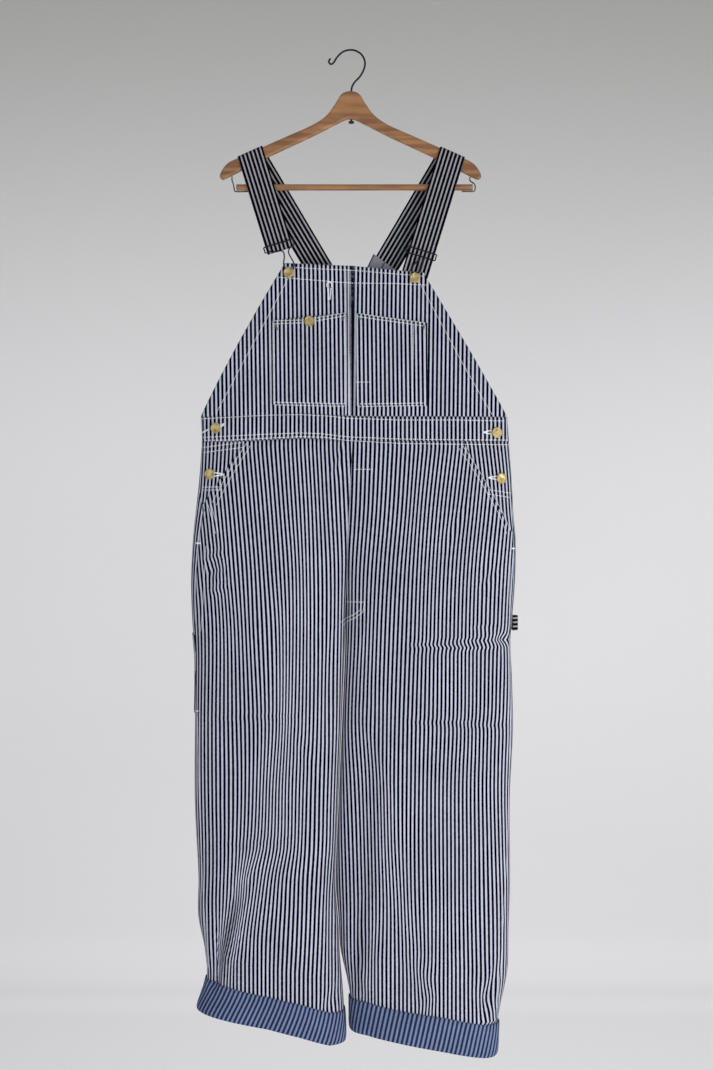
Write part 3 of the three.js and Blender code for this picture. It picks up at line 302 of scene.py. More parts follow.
FOLDS = {
    (Leg.RIGHT, Face.FRONT): folds((
        (-74, -1296, -186, -1402, 22, -7), (-196, -1395, -218, -1525, 20, -6),
        (-60, -1290, -150, -1360, 26, 5), (-130, -760, -150, -1150, 38, 4),
        (-55, -700, -60, -1050, 26, -3), (-95, -1420, -105, -1580, 26, 5),
        (-75, -1297, -182, -1378, 7, -2.2), (-182, -1378, -214, -1500, 8, -2.6),
        (-20, -1060, -62, -1340, 12, 1.6), (-40, -930, -80, -1010, 9, -1.4),
        (-215, -825, -232, -875, 5, -1.5), (-206, -836, -222, -890, 5, 1.4),
        (-228, -790, -238, -850, 6, 1.6), (-236, -860, -246, -930, 6, -1.3),
        (-30, -880, -38, -1000, 6, 1.5), (-120, -1085, -190, -1092, 5, -0.7),
        (-150, -1295, -235, -1300, 5, -0.8), (-170, -1180, -220, -1260, 14, 1.2),
        (-90, -1120, -120, -1280, 16, 1.3), (-150, -1440, -140, -1560, 14, 1.6),
        (-60, -1460, -52, -1570, 12, -1.6), (-30, -700, -36, -900, 9, 1.6),
        (-136, -1305, -190, -1400, 9, -3.4, 2.6), (-190, -1400, -219, -1530, 8, -3.2, 3.0),
        (-160, -1370, -206, -1500, 10, 3.0, -1.6), (-186, -1430, -212, -1535, 7, 2.4, -2.0),
        (-204, -826, -236, -838, 6, 1.0, 2.6), (-206, -850, -232, -862, 6, -1.0, -2.4),
        (-200, -880, -228, -890, 6, 0.8, 2.0), (-12, -640, -22, -700, 6, 1.8, 1.8),
        (-8, -655, -30, -690, 5, -1.2, -1.6), (-20, -1530, -50, -1590, 11, -2.4, 2.2),
        (-226, -1440, -236, -1530, 8, 2.6, 0.0), (-214, -1520, -224, -1540, 6, -3.0, 1.6),
        (-80, -1090, -236, -1096, 4, -1.0, 0.9), (-92, -1120, -60, -1180, 10, 1.4, 1.2),
        (-100, -1292, -240, -1302, 4, -1.0, 1.0), (-30, -960, -40, -1120, 9, -2.0, 0.8),
        (-172, -1372, -205, -1528, 7, 3.0, -3.2), (-186, -1392, -222, -1532, 5, -3.6, 1.2),
        (-34, -1330, -28, -1520, 8, -2.0, 1.6),
    )),
    (Leg.LEFT, Face.FRONT): folds((
        (35, -1080, 10, -1400, 22, -5), (60, -1180, 45, -1520, 26, 5),
        (125, -1098, 255, -1104, 16, -3), (238, -965, 262, -972, 12, -4),
        (205, -1530, 240, -1585, 20, -6), (110, -760, 130, -1050, 40, 4),
        (120, -1330, 140, -1600, 30, 5), (130, -1099, 252, -1106, 4, -1.3),
        (215, -1535, 236, -1610, 7, -2.6), (224, -1500, 214, -1560, 6, 2.2),
        (90, -1390, 122, -1520, 9, -2.0), (70, -1370, 108, -1500, 10, 2.0),
        (25, -1440, 8, -1540, 8, -3.0), (12, -1500, 30, -1545, 7, 2.4),
        (40, -1250, 18, -1450, 9, -1.6), (60, -850, 75, -905, 8, -1.2),
        (78, -840, 66, -930, 8, 1.3), (150, -1110, 235, -1190, 12, 1.2),
        (246, -960, 262, -978, 5, -1.8), (242, -975, 256, -1060, 9, 1.4),
        (170, -1300, 190, -1480, 16, 1.4), (95, -1000, 140, -1020, 5, -0.5),
        (188, -742, 150, -814, 8, 1.2, 1.1), (196, -750, 160, -826, 7, -1.0, -0.7),
        (251, -845, 201, -894, 6, 1.2, 1.4), (226, -852, 198, -900, 6, -1.0, -0.9),
        (99, -976, 264, -968, 4, -1.4, 2.4), (99, -984, 264, -978, 4, 1.2, -2.2),
        (236, -966, 262, -972, 7, -2.2, 2.6), (198, -948, 250, -952, 4, 0.8, 1.6),
        (22, -1400, 6, -1540, 8, -2.4, 2.4), (38, -1416, 18, -1540, 8, 2.2, -1.6),
        (100, -1480, 136, -1530, 14, 2.2, 3.4), (136, -1530, 110, -1570, 12, -1.6, -2.6),
        (243, -1500, 214, -1590, 8, -2.6, 1.2), (222, -1566, 234, -1590, 6, 2.0, -0.9),
        (16, -920, 22, -970, 6, -2.4, 1.4), (26, -930, 14, -990, 5, 2.0, -1.4),
        (90, -1100, 250, -1108, 4, -1.2, 1.2), (20, -1080, 60, -1200, 12, 1.6, 1.4),
        (10, -1380, 4, -1520, 6, -3.4, 1.0), (30, -1400, 8, -1530, 6, 2.2, -1.2),
    )),
    (Leg.RIGHT, Face.BACK): folds((
        (-190, -1180, -70, -1310, 26, -7), (-60, -1360, -170, -1470, 24, -6),
        (-140, -800, -150, -1120, 40, 4), (-185, -1185, -80, -1300, 8, -2.2),
        (-70, -1365, -160, -1462, 8, -2.0), (-60, -960, -120, -1080, 12, -1.8),
        (-210, -1320, -200, -1500, 14, 1.8), (-110, -1420, -100, -1560, 16, 1.8),
        (-140, -1088, -230, -1094, 5, -0.8), (-30, -900, -60, -980, 8, 1.6),
    )),
    (Leg.LEFT, Face.BACK): folds((
        (190, -1130, 70, -1260, 26, -7), (60, -1400, 190, -1520, 24, -6),
        (140, -800, 150, -1100, 40, 4), (182, -1138, 80, -1250, 8, -2.2),
        (70, -1407, 180, -1508, 8, -2.2), (50, -980, 110, -1090, 12, -1.7),
        (215, -1290, 205, -1460, 14, 1.7), (110, -1440, 118, -1590, 16, 1.8),
        (120, -1096, 220, -1100, 5, -0.8), (24, -900, 60, -985, 8, 1.6),
    )),
}
TRUNK_FOLDS = {
    Face.FRONT: folds((
        (-150, -470, -215, -590, 12, 1.4), (150, -480, 225, -590, 12, 1.4),
        (-60, -400, -40, -425, 10, -0.9), (60, -400, 50, -425, 10, -0.8),
        (-100, -390, -112, -440, 9, 1.0), (112, -395, 120, -440, 9, 1.0),
        (-135, -520, -132, -600, 9, -1.2), (133, -520, 136, -600, 9, -1.2),
        (-80, -560, -70, -640, 22, 2.2), (70, -570, 60, -640, 20, 1.2),
    )),
    Face.BACK: folds((
        (-100, -400, -170, -560, 14, 2.0), (105, -400, 175, -560, 14, 2.0),
        (-30, -420, -40, -590, 12, -1.2), (40, -430, 30, -600, 12, 1.4),
        (-120, -600, 120, -606, 8, -1.0),
    )),
}


def fold_rise(rows: tuple[Fold, ...], x: np.ndarray, z: np.ndarray) -> np.ndarray:
    """Sum of several folds at places of the front view."""
    return sum((fold.height * fold.weight(x, z) for fold in rows), np.zeros(np.broadcast(x, z).shape))


def fold_shift(rows: tuple[Fold, ...], x: np.ndarray, z: np.ndarray) -> np.ndarray:
    """How far the folds move the stripes sideways at places of the front view."""
    moved = [fold for fold in rows if fold.shift]
    return sum((fold.shift * fold.weight(x, z) for fold in moved), np.zeros(np.broadcast(x, z).shape))


def undulation(x: np.ndarray, z: np.ndarray, phase: float) -> np.ndarray:
    """Slight unevenness of hanging cloth, under a millimetre either way."""
    return (
        0.34 * np.sin(x / 31.0 + 0.7 * np.sin(z / 83.0 + phase) + phase)
        + 0.28 * np.sin(z / 57.0 + x / 90.0 + 2.1 * phase)
        + 0.16 * np.sin(x / 13.0 - z / 41.0 + 3.3 * phase)
    )


def picture_plane(points: np.ndarray) -> tuple[np.ndarray, np.ndarray]:
    """X and Z at which the camera sees points against the plane Y = 0."""
    factor = -CAMERA_Y / (points[..., 1] - CAMERA_Y)
    x = CAMERA_X + (points[..., 0] - CAMERA_X) * factor
    z = CAMERA_Z + (points[..., 2] - CAMERA_Z) * factor
    return x, z


def from_picture(px: float, py: float) -> tuple[float, float]:
    """X and Z in the plane Y = 0 of a place in the picture."""
    return (px - PICTURE_MIDDLE) * POINT, (PICTURE_TOP - py) * POINT


@dataclass(frozen=True)
class Section:
    """Points of a level line with their outward normals and the distance along it."""

    x: np.ndarray
    y: np.ndarray
    nx: np.ndarray
    ny: np.ndarray
    arc: np.ndarray

    @property
    def length(self) -> float:
        """Length of the line."""
        return float(self.arc[-1])

    def along(self, arcs: np.ndarray) -> tuple[np.ndarray, np.ndarray, np.ndarray, np.ndarray]:
        """Points and normals at distances along the line."""
        x, y, nx, ny = (np.interp(arcs, self.arc, v) for v in (self.x, self.y, self.nx, self.ny))
        size = np.hypot(nx, ny)
        return x, y, nx / size, ny / size

    def arc_at(self, x: float) -> float:
        """Distance along the line at which it has an X."""
        if self.x[-1] > self.x[0]:
            return float(np.interp(x, self.x, self.arc))
        return float(np.interp(x, self.x[::-1], self.arc[::-1]))


def half_section(outer: float, inner: float, depth: float, end: float, lift: float, way: int) -> Section:
    """Half of a flattened ring, from its outer edge round to the inner edge.

    Args:
        outer: X of the outer edge.
        inner: X where the half ends.
        depth: how far it bellies out.
        end: angle at which it ends, a quarter turn for a flat middle.
        lift: how far the outer edge stands off the middle plane.
        way: -1 for the front and 1 for the back.
    Returns:
        The level line.
    """
    power = 2.0 / SECTION_POWER
    slope = SECTION_POWER - 1.0
    half = (outer - inner) / (1.0 - float(signed_power(math.cos(end), power)))
    angle = np.linspace(0.0, end, FINE_STEPS + 1)
    c = signed_power(np.cos(angle), power)
    s = np.maximum(0.0, np.sin(angle)) ** power
    gx = signed_power(c, slope) / half
    gy = s**slope / depth
    size = np.hypot(gx, gy)
    x = outer - half + half * c
    y = way * (lift + depth * s)
    arc = np.concatenate([[0.0], np.cumsum(np.hypot(np.diff(x), np.diff(y)))])
    return Section(x, y, gx / size, way * gy / size, arc)


def spread(start: float, end: float, steps: int, easing: float = 0.45) -> np.ndarray:
    """Distances along a line, closer together at both ends."""
    t = np.linspace(0.0, 1.0, steps + 1)
    return mix(start, end, t - easing * np.sin(2 * math.pi * t) / (2 * math.pi))


def leg_line(leg: Leg, face: Face, z: float) -> Section:
    """Level line of one face of a leg; its valley deepens from the waist to the crotch."""
    rows = LEG_ROWS[leg]
    t = clamp((WAIST_SEAM - z) / (WAIST_SEAM - CROTCH), 0.0, 1.0)
    turn = t**0.75 if face is Face.FRONT else t**1.2
    inner_z = z + leg.side * rows.at("slope", z) * INNER_REACH
    inner = CENTRE.at("x", inner_z) + leg.side * max(0.0, CENTRE.at("part", inner_z))
    depth = rows.at("front" if face is Face.FRONT else "back", z)
    return half_section(rows.at("outer", z), inner, depth, math.pi / 2 * (1 + turn), 0.0, face.value)


def waist_bow(points: np.ndarray) -> np.ndarray:
    """Raises the waist a little where the band arches over the right hip."""
    x, z = points[..., 0], points[..., 2]
    lift = 5.0 * np.exp(-(((x + 82.0) / 58.0) ** 2)) * np.exp(-(((z + 622.0) / 60.0) ** 2))
    raised = points.copy()
    raised[..., 2] += lift
    return raised


@dataclass
class ClothGrid:
    """Outside points of a cloth panel in rows, with outward normals and the places of its stripes."""

    points: np.ndarray
    normals: np.ndarray
    stripes: np.ndarray

    def moved(self, distance) -> "ClothGrid":
        """The grid at a distance along its normals."""
        return ClothGrid(self.points + self.normals * np.asarray(distance)[..., None], self.normals, self.stripes)

    def uv(self) -> np.ndarray:
        """Stripe number and length along the stripe, both in stripe periods."""
        steps = np.linalg.norm(np.diff(self.points, axis=0), axis=2)
        down = np.vstack([np.zeros(self.points.shape[1]), np.cumsum(steps, axis=0)]) / PERIOD
        return np.dstack([self.stripes, down])

    def area(self) -> float:
        """Area in square metres."""
        p = self.points * MM
        a = np.cross(p[1:, 1:] - p[:-1, :-1], p[1:, :-1] - p[:-1, 1:])
        return float(np.linalg.norm(a, axis=2).sum() / 2)


def stripe_numbers(leg: Leg, line: Section, z: float, arcs: np.ndarray) -> np.ndarray:
    """Stripe numbers along a level line of a front leg.

    Between the chosen stripes they follow the picture; beyond the last ones the cloth's own period.
    """
    table = STRIPES[leg]
    names = table.names[1:]
    factor = -CAMERA_Y / (line.y - CAMERA_Y)
    seen = CAMERA_X + (line.x - CAMERA_X) * factor
    height = clamp(z, float(table.column("z")[-1]), float(table.column("z")[0]))
    numbers = np.array([float(name) for name in names])
    places = np.array([table.at(name, height) for name in names])
    if leg is Leg.RIGHT:
        found = np.interp(places, seen, line.arc)
    else:
        found = np.interp(places, seen[::-1], line.arc[::-1])
        found, numbers = found[::-1], numbers[::-1]
    keep = (found > 14.0) & (found < line.length - 20.0)
    found, numbers = found[keep], numbers[keep]
    way = 1.0 if leg is Leg.RIGHT else -1.0
    inside = np.interp(arcs, found, numbers)
    before = numbers[0] + way * (arcs - found[0]) / PERIOD
    after = numbers[-1] + way * (arcs - found[-1]) / PERIOD
    return np.where(arcs < found[0], before, np.where(arcs > found[-1], after, inside))


def hem_wave(leg: Leg, x: np.ndarray, z: float) -> np.ndarray:
    """How far the uneven hang of a hem lifts the cloth near it."""
    places, lifts = zip(*HEM_WAVES[leg])
    return np.interp(x, places, lifts) * float(smooth((HEM[leg] + HEM_WAVE_TOP - z) / HEM_WAVE_FADE))


def leg_row(leg: Leg, face: Face, z: float, line: Section, arcs: np.ndarray) -> tuple[np.ndarray, np.ndarray]:
    """Points and normals of one level row of a leg panel, with its folds."""
    x, y, nx, ny = line.along(arcs)
    middle = (line.x[0] + line.x[-1]) / 2
    height = z - LEG_ROWS[leg].at("slope", z) * (x - middle)
    edge = np.minimum(arcs, line.length - arcs)
    rise = fold_rise(FOLDS[leg, face], x, height) + undulation(x, height, 0.4 + face.value * leg.side)
    rise = smooth(edge / 24.0) * rise
    points = np.stack([x + nx * rise, y + ny * rise, height + hem_wave(leg, x, z)], axis=-1)
    return points, np.stack([nx, ny, np.zeros_like(nx)], axis=-1)


def mouth_x(leg: Leg, z: float) -> float:
    """X of the hip pocket's slanted mouth at a height."""
    top_x, bottom_x, bottom_z = MOUTHS[leg]
    return mix(top_x, bottom_x, (WAIST_SEAM - z) / (WAIST_SEAM - bottom_z))


def front_start(leg: Leg, z: float, line: Section) -> float:
    """Distance along the front where the front leg starts."""
    seam = LEG_ROWS[leg].at("seam", z)
    if z < MOUTHS[leg][2] - 1.0:
        return seam
    return max(seam + 1.6, line.arc_at(mouth_x(leg, z)))


def heights(top: float, bottom: float, spacing: float) -> np.ndarray:
    """Evenly spaced heights from top to bottom."""
    return np.linspace(top, bottom, max(2, round((top - bottom) / spacing) + 1))


def grid_of(rows: list[tuple[np.ndarray, np.ndarray, np.ndarray]]) -> ClothGrid:
    """A grid from rows of points, normals and stripe numbers."""
    points, normals, stripes = (np.array([row[i] for row in rows]) for i in range(3))
    return ClothGrid(waist_bow(points), normals, stripes)


class Shape:
    """Mesh making from grids of points."""

    @staticmethod
    def grid(
        name: str,
        points: np.ndarray,
        uv: np.ndarray | None = None,
        normals: np.ndarray | None = None,
        wrap: bool = False,
        caps: bool = False,
    ) -> bpy.types.Object:
        """A mesh object from rows of points in millimetres.

        Args:
            name: name of the object.
            points: rows x columns x 3.
            uv: rows x columns x 2, or None.
            normals: rows x columns x 3 for an open sheet, which faces their way.
            wrap: joins the last column to the first.
            caps: closes both ends.
        Returns:
            The object, at the origin.
        """
        rows, columns = points.shape[:2]
        bm = bmesh.new()
        bmesh.ops.create_grid(bm, x_segments=columns - 1, y_segments=rows - 1, size=0.5)
        mesh = bpy.data.meshes.new(name)
        bm.to_mesh(mesh)
        bm.free()
        mesh.vertices.foreach_set("co", (points * MM).reshape(-1))
        if uv is not None:
            corner = np.zeros(len(mesh.loops), np.int32)
            mesh.loops.foreach_get("vertex_index", corner)
            layer = mesh.uv_layers.new(name="cloth")
            layer.data.foreach_set("uv", uv.reshape(-1, 2)[corner].reshape(-1))
        mesh.update()
        bm = bmesh.new()
        bm.from_mesh(mesh)
        if wrap:
            bmesh.ops.remove_doubles(bm, verts=bm.verts[:], dist=1e-6)
        if caps:
            rims = [edge for edge in bm.edges if edge.is_boundary]
            bmesh.ops.holes_fill(bm, edges=rims, sides=0)
        if normals is None:
            bmesh.ops.recalc_face_normals(bm, faces=bm.faces[:])
        else:
            bm.normal_update()
            bm.verts.ensure_lookup_table()
            flat = normals.reshape(-1, 3)
            score = sum(
                face.normal.dot(Vector(flat[face.verts[0].index])) for face in list(bm.faces)[:: max(1, rows // 8)]
            )
            if score < 0:
                bmesh.ops.reverse_faces(bm, faces=bm.faces[:])
        for face in bm.faces:
            face.smooth = True
        bm.to_mesh(mesh)
        bm.free()
        item = bpy.data.objects.new(name, mesh)
        bpy.context.scene.collection.objects.link(item)
        return item

    @staticmethod
    def curve(points: np.ndarray, count: int, closed: bool = False) -> np.ndarray:
        """Evenly spaced points on a smooth line through given points."""
        if closed:
            knots = np.vstack([points[-1:], points, points[:2]])
        else:
            knots = np.vstack([2 * points[0] - points[1], points, 2 * points[-1] - points[-2]])
        fine = []
        for i in range(1, len(knots) - 2):
            a, b, c, d = knots[i - 1 : i + 3]
            for t in np.linspace(0.0, 1.0, 16, endpoint=False):
                fine.append(
                    0.5 * (2 * b + (c - a) * t + (2 * a - 5 * b + 4 * c - d) * t**2 + (3 * b - a - 3 * c + d) * t**3)
                )
        fine.append(knots[-2])
        line = np.array(fine)
        arc = np.concatenate([[0.0], np.cumsum(np.linalg.norm(np.diff(line, axis=0), axis=1))])
        places = np.linspace(0.0, arc[-1], count)
        return np.stack([np.interp(places, arc, line[:, k]) for k in range(line.shape[1])], axis=-1)

    @staticmethod
    def tube(
        name: str, path: np.ndarray, radius: float, sides: int = 10, closed: bool = False
    ) -> bpy.types.Object:
        """A round wire along a path of points in millimetres."""
        rings = []
        count = len(path)
        normal = Vector((0.0, 1.0, 0.0))
        for i in range(count):
            after = path[(i + 1) % (count - 1)] if closed else path[min(i + 1, count - 1)]
            before = path[(i - 1) % (count - 1)] if closed else path[max(i - 1, 0)]
            run = Vector(after - before).normalized()
            normal = (normal - run * normal.dot(run)).normalized()
            side = run.cross(normal)
            ring = []
            for j in range(sides + 1):
                angle = 2 * math.pi * j / sides
                offset = (normal * math.cos(angle) + side * math.sin(angle)) * radius
                ring.append(path[i] + np.array(offset))
            rings.append(ring)
        if closed:
            rings[-1] = rings[0]
        return Shape.grid(name, np.array(rings), wrap=True, caps=not closed)

    @staticmethod
    def turned(name: str, profile: tuple[tuple[float, float], ...], place: Vector, axis: Vector) -> bpy.types.Object:
        """A round piece spun from a profile of radius and height, set on a place along an axis."""
        bm = bmesh.new()
        verts = [bm.verts.new((radius * MM, 0.0, height * MM)) for radius, height in profile]
        edges = [bm.edges.new(pair) for pair in zip(verts, verts[1:])]
        bmesh.ops.spin(
            bm, geom=verts + edges, cent=(0, 0, 0), axis=(0, 0, 1), angle=2 * math.pi, steps=32, use_merge=True
        )
        bmesh.ops.remove_doubles(bm, verts=bm.verts[:], dist=1e-6)
        bmesh.ops.recalc_face_normals(bm, faces=bm.faces[:])
        turn = axis.to_track_quat("Z", "X").to_matrix().to_4x4()
        bmesh.ops.transform(bm, matrix=Matrix.Translation(place * MM) @ turn, verts=bm.verts[:])
        for face in bm.faces:
            face.smooth = True
        mesh = bpy.data.meshes.new(name)
        bm.to_mesh(mesh)
        bm.free()
        item = bpy.data.objects.new(name, mesh)
        bpy.context.scene.collection.objects.link(item)
        return item


class Tree:
    """A short way to add and join shader nodes."""

    def __init__(self, tree: bpy.types.NodeTree) -> None:
        """Keeps the node tree that is filled."""
        self.tree = tree

    def add(self, kind: str, inputs: dict | None = None, **settings) -> bpy.types.Node:
        """Adds a node, sets its properties, and sets or joins its inputs."""
        node = self.tree.nodes.new(kind)
        for key, value in settings.items():
            setattr(node, key, value)
        for key, value in (inputs or {}).items():
            if isinstance(value, bpy.types.NodeSocket):
                self.tree.links.new(value, node.inputs[key])
            else:
                node.inputs[key].default_value = value
        return node

    def math(self, operation: str, a, b=0.0, c=0.0) -> bpy.types.NodeSocket:
        """One sum, and its result."""
        return self.add("ShaderNodeMath", {0: a, 1: b, 2: c}, operation=operation).outputs[0]

    def blend(self, factor, a, b) -> bpy.types.NodeSocket:
        """Mixes two colours."""
        node = self.add("ShaderNodeMix", {0: factor, 6: a, 7: b}, data_type="RGBA")
        return node.outputs[2]

    def ramp(self, value, low: float, high: float, to_low: float = 0.0, to_high: float = 1.0) -> bpy.types.NodeSocket:
        """A value moved smoothly from one range to another."""
        node = self.add(
            "ShaderNodeMapRange",
            {"Value": value, "From Min": low, "From Max": high, "To Min": to_low, "To Max": to_high},
            interpolation_type="SMOOTHSTEP",
        )
        return node.outputs[0]


def colour(red: int, green: int, blue: int) -> tuple[float, float, float, float]:
    """A screen colour from 0 to 255 as the linear colour of a shader."""

    def linear(value: float) -> float:
        """One channel."""
        v = value / 255
        return v / 12.92 if v <= 0.04045 else ((v + 0.055) / 1.055) ** 2.4

    return linear(red), linear(green), linear(blue), 1.0


def striped_cloth_group() -> bpy.types.ShaderNodeTree:
    """Node group: stripe mask, weave fleck and weave height of striped twill, from its own UV."""
    group = bpy.data.node_groups.new("striped twill", "ShaderNodeTree")
    for name in ("Soft", "Half"):
        group.interface.new_socket(name=name, in_out="INPUT", socket_type="NodeSocketFloat")
    for name in ("Dark", "Fleck", "Height", "Wash"):
        group.interface.new_socket(name=name, in_out="OUTPUT", socket_type="NodeSocketFloat")
    tree = Tree(group)
    source = tree.add("NodeGroupInput")
    uv = tree.add("ShaderNodeUVMap", uv_map="cloth")
    split = tree.add("ShaderNodeSeparateXYZ", {0: uv.outputs[0]})
    across, along = split.outputs[0], split.outputs[1]
    wobble = tree.add("ShaderNodeTexNoise", {"Vector": uv.outputs[0], "Scale": 1.7, "Detail": 3.0})
    shift = tree.ramp(wobble.outputs[0], 0.2, 0.8, -0.035, 0.035)
    moved = tree.math("ADD", across, shift)
    place = tree.math("ABSOLUTE", tree.math("SUBTRACT", tree.math("FRACT", tree.math("ADD", moved, 0.5)), 0.5))
    soft, half = source.outputs["Soft"], source.outputs["Half"]
    low = tree.math("SUBTRACT", half, soft)
    high = tree.math("ADD", half, soft)
    dark = tree.add(
        "ShaderNodeMapRange",
        {"Value": place, "From Min": low, "From Max": high, "To Min": 1.0, "To Max": 0.0},
        interpolation_type="SMOOTHSTEP",
    ).outputs[0]
    line = tree.math("FRACT", tree.math("ADD", tree.math("MULTIPLY", across, 8.0), tree.math("MULTIPLY", along, 5.0)))
    rib = tree.math("SINE", tree.math("MULTIPLY", line, 2 * math.pi))
    yarn = tree.math("SINE", tree.math("MULTIPLY", across, 2 * math.pi * 18.0))
    pick = tree.math("SINE", tree.math("MULTIPLY", along, 2 * math.pi * 12.0))
    slub = tree.add(
        "ShaderNodeTexNoise",
        {
            "Vector": tree.add("ShaderNodeMapping", {0: uv.outputs[0], "Scale": (9.0, 0.8, 1.0)}).outputs[0],
            "Scale": 1.0,
            "Detail": 4.0,
        },
    ).outputs[0]
    weave = tree.math("ADD", tree.math("MULTIPLY", rib, 0.5), tree.math("MULTIPLY", yarn, 0.2))
    weave = tree.math("ADD", weave, tree.math("MULTIPLY", pick, 0.15))
    height = tree.math("ADD", weave, tree.math("MULTIPLY", slub, 1.2))
    fleck = tree.ramp(tree.math("ADD", weave, tree.math("MULTIPLY", slub, 0.9)), 0.5, 1.5)
    wash = tree.add("ShaderNodeTexNoise", {"Vector": uv.outputs[0], "Scale": 0.11, "Detail": 5.0}).outputs[0]
    tree.add("NodeGroupOutput", {"Dark": dark, "Fleck": fleck, "Height": height, "Wash": wash})
    return group


@dataclass(frozen=True)
class ClothFinish:
    """Striped twill, by the colours of its stripes and of the weft that shows through."""

    name: str
    dark: tuple[int, int, int]
    light: tuple[int, int, int]
    weft: tuple[int, int, int]
    show: float
    soft: float = 0.05
    relief: float = 0.35
    half: float = 0.272

    def material(self, group: bpy.types.ShaderNodeTree) -> bpy.types.Material:
        """Builds the material around the shared weave group."""
        item = bpy.data.materials.new(self.name)
        item.use_nodes = True
        item.node_tree.nodes.clear()
        tree = Tree(item.node_tree)
        cloth = tree.add("ShaderNodeGroup", {}, node_tree=group)
        cloth.inputs["Soft"].default_value = self.soft
        cloth.inputs["Half"].default_value = self.half
        dark, fleck, height, wash = cloth.outputs
        show = tree.math("MULTIPLY", fleck, self.show)
        navy = tree.blend(show, colour(*self.dark), colour(*self.weft))
        shade = tree.blend(tree.ramp(fleck, 0.0, 1.0, 0.0, 0.35), colour(*self.light), colour(*self.weft))
        pale = tree.blend(tree.ramp(wash, 0.35, 0.7, 0.0, 0.25), colour(*self.light), shade)
        edge = tree.blend(tree.ramp(dark, 0.0, 0.6), pale, colour(*self.weft))
        base = tree.blend(tree.ramp(dark, 0.45, 1.0), edge, navy)
        tone = tree.ramp(wash, 0.3, 0.75, 0.92, 1.06)
        base = tree.add("ShaderNodeHueSaturation", {"Color": base, "Value": tone}).outputs[0]
        bump = tree.add(
            "ShaderNodeBump", {"Height": height, "Strength": self.relief, "Distance": 0.00035}
        ).outputs[0]
        shader = tree.add(
            "ShaderNodeBsdfPrincipled",
            {
                "Base Color": base,
                "Normal": bump,
                "Roughness": tree.ramp(fleck, 0.0, 1.0, 0.93, 0.8),
                "Sheen Weight": 0.01,
                "Sheen Roughness": 0.5,
                "Specular IOR Level": 0.05,
            },
        )
        tree.add("ShaderNodeOutputMaterial", {"Surface": shader.outputs[0]})
        return item


@dataclass(frozen=True)
class ThreadFinish:
    """Sewing thread with a twist along each stitch."""

    name: str
    tint: tuple[int, int, int]
    shade: tuple[int, int, int]

    def material(self) -> bpy.types.Material:
        """Builds the material."""
        item = bpy.data.materials.new(self.name)
        item.use_nodes = True
        item.node_tree.nodes.clear()
        tree = Tree(item.node_tree)
        place = tree.add("ShaderNodeTexCoord").outputs["Object"]
        twist = tree.add("ShaderNodeTexNoise", {"Vector": place, "Scale": 2400.0, "Detail": 2.0}).outputs[0]
        soil = tree.add("ShaderNodeTexNoise", {"Vector": place, "Scale": 90.0, "Detail": 3.0}).outputs[0]
        base = tree.blend(tree.ramp(soil, 0.35, 0.7), colour(*self.tint), colour(*self.shade))
        bump = tree.add("ShaderNodeBump", {"Height": twist, "Strength": 0.4, "Distance": 0.0002}).outputs[0]
        shader = tree.add(
            "ShaderNodeBsdfPrincipled",
            {
                "Base Color": base,
                "Normal": bump,
                "Roughness": tree.ramp(twist, 0.3, 0.7, 0.6, 0.8),
                "Sheen Weight": 0.2,
            },
        )
        tree.add("ShaderNodeOutputMaterial", {"Surface": shader.outputs[0]})
        return item


@dataclass(frozen=True)
class WoodFinish:
    """Varnished wood whose grain runs along X."""

    name: str
    early: tuple[int, int, int]
    late: tuple[int, int, int]

    def material(self) -> bpy.types.Material:
        """Builds the material."""
        item = bpy.data.materials.new(self.name)
        item.use_nodes = True
        item.node_tree.nodes.clear()
        tree = Tree(item.node_tree)
        place = tree.add("ShaderNodeTexCoord").outputs["Object"]
        stretched = tree.add("ShaderNodeMapping", {0: place, "Scale": (9.0, 90.0, 120.0)}).outputs[0]
        grain = tree.add("ShaderNodeTexNoise", {"Vector": stretched, "Scale": 1.0, "Detail": 6.0}).outputs[0]
        pore_place = tree.add("ShaderNodeMapping", {0: place, "Scale": (60.0, 900.0, 1100.0)}).outputs[0]
        pore = tree.add("ShaderNodeTexNoise", {"Vector": pore_place, "Scale": 1.0, "Detail": 3.0}).outputs[0]
        patch = tree.add("ShaderNodeTexNoise", {"Vector": place, "Scale": 11.0, "Detail": 2.0}).outputs[0]
        tint = tree.blend(tree.ramp(grain, 0.35, 0.65), colour(*self.early), colour(*self.late))
        worn = tree.blend(tree.ramp(pore, 0.55, 0.75, 0.0, 0.45), tint, colour(96, 60, 30))
        base = tree.add(
            "ShaderNodeHueSaturation", {"Color": worn, "Value": tree.ramp(patch, 0.3, 0.7, 0.9, 1.1)}
        ).outputs[0]
        bump = tree.add(
            "ShaderNodeBump",
            {"Height": tree.math("ADD", grain, tree.math("MULTIPLY", pore, 0.5)), "Strength": 0.25, "Distance": 0.0003},
        ).outputs[0]
        shader = tree.add(
            "ShaderNodeBsdfPrincipled",
            {
                "Base Color": base,
                "Normal": bump,
                "Roughness": tree.ramp(patch, 0.3, 0.7, 0.38, 0.55),
                "Coat Weight": 0.25,
                "Coat Roughness": 0.3,
            },
        )
        tree.add("ShaderNodeOutputMaterial", {"Surface": shader.outputs[0]})
        return item


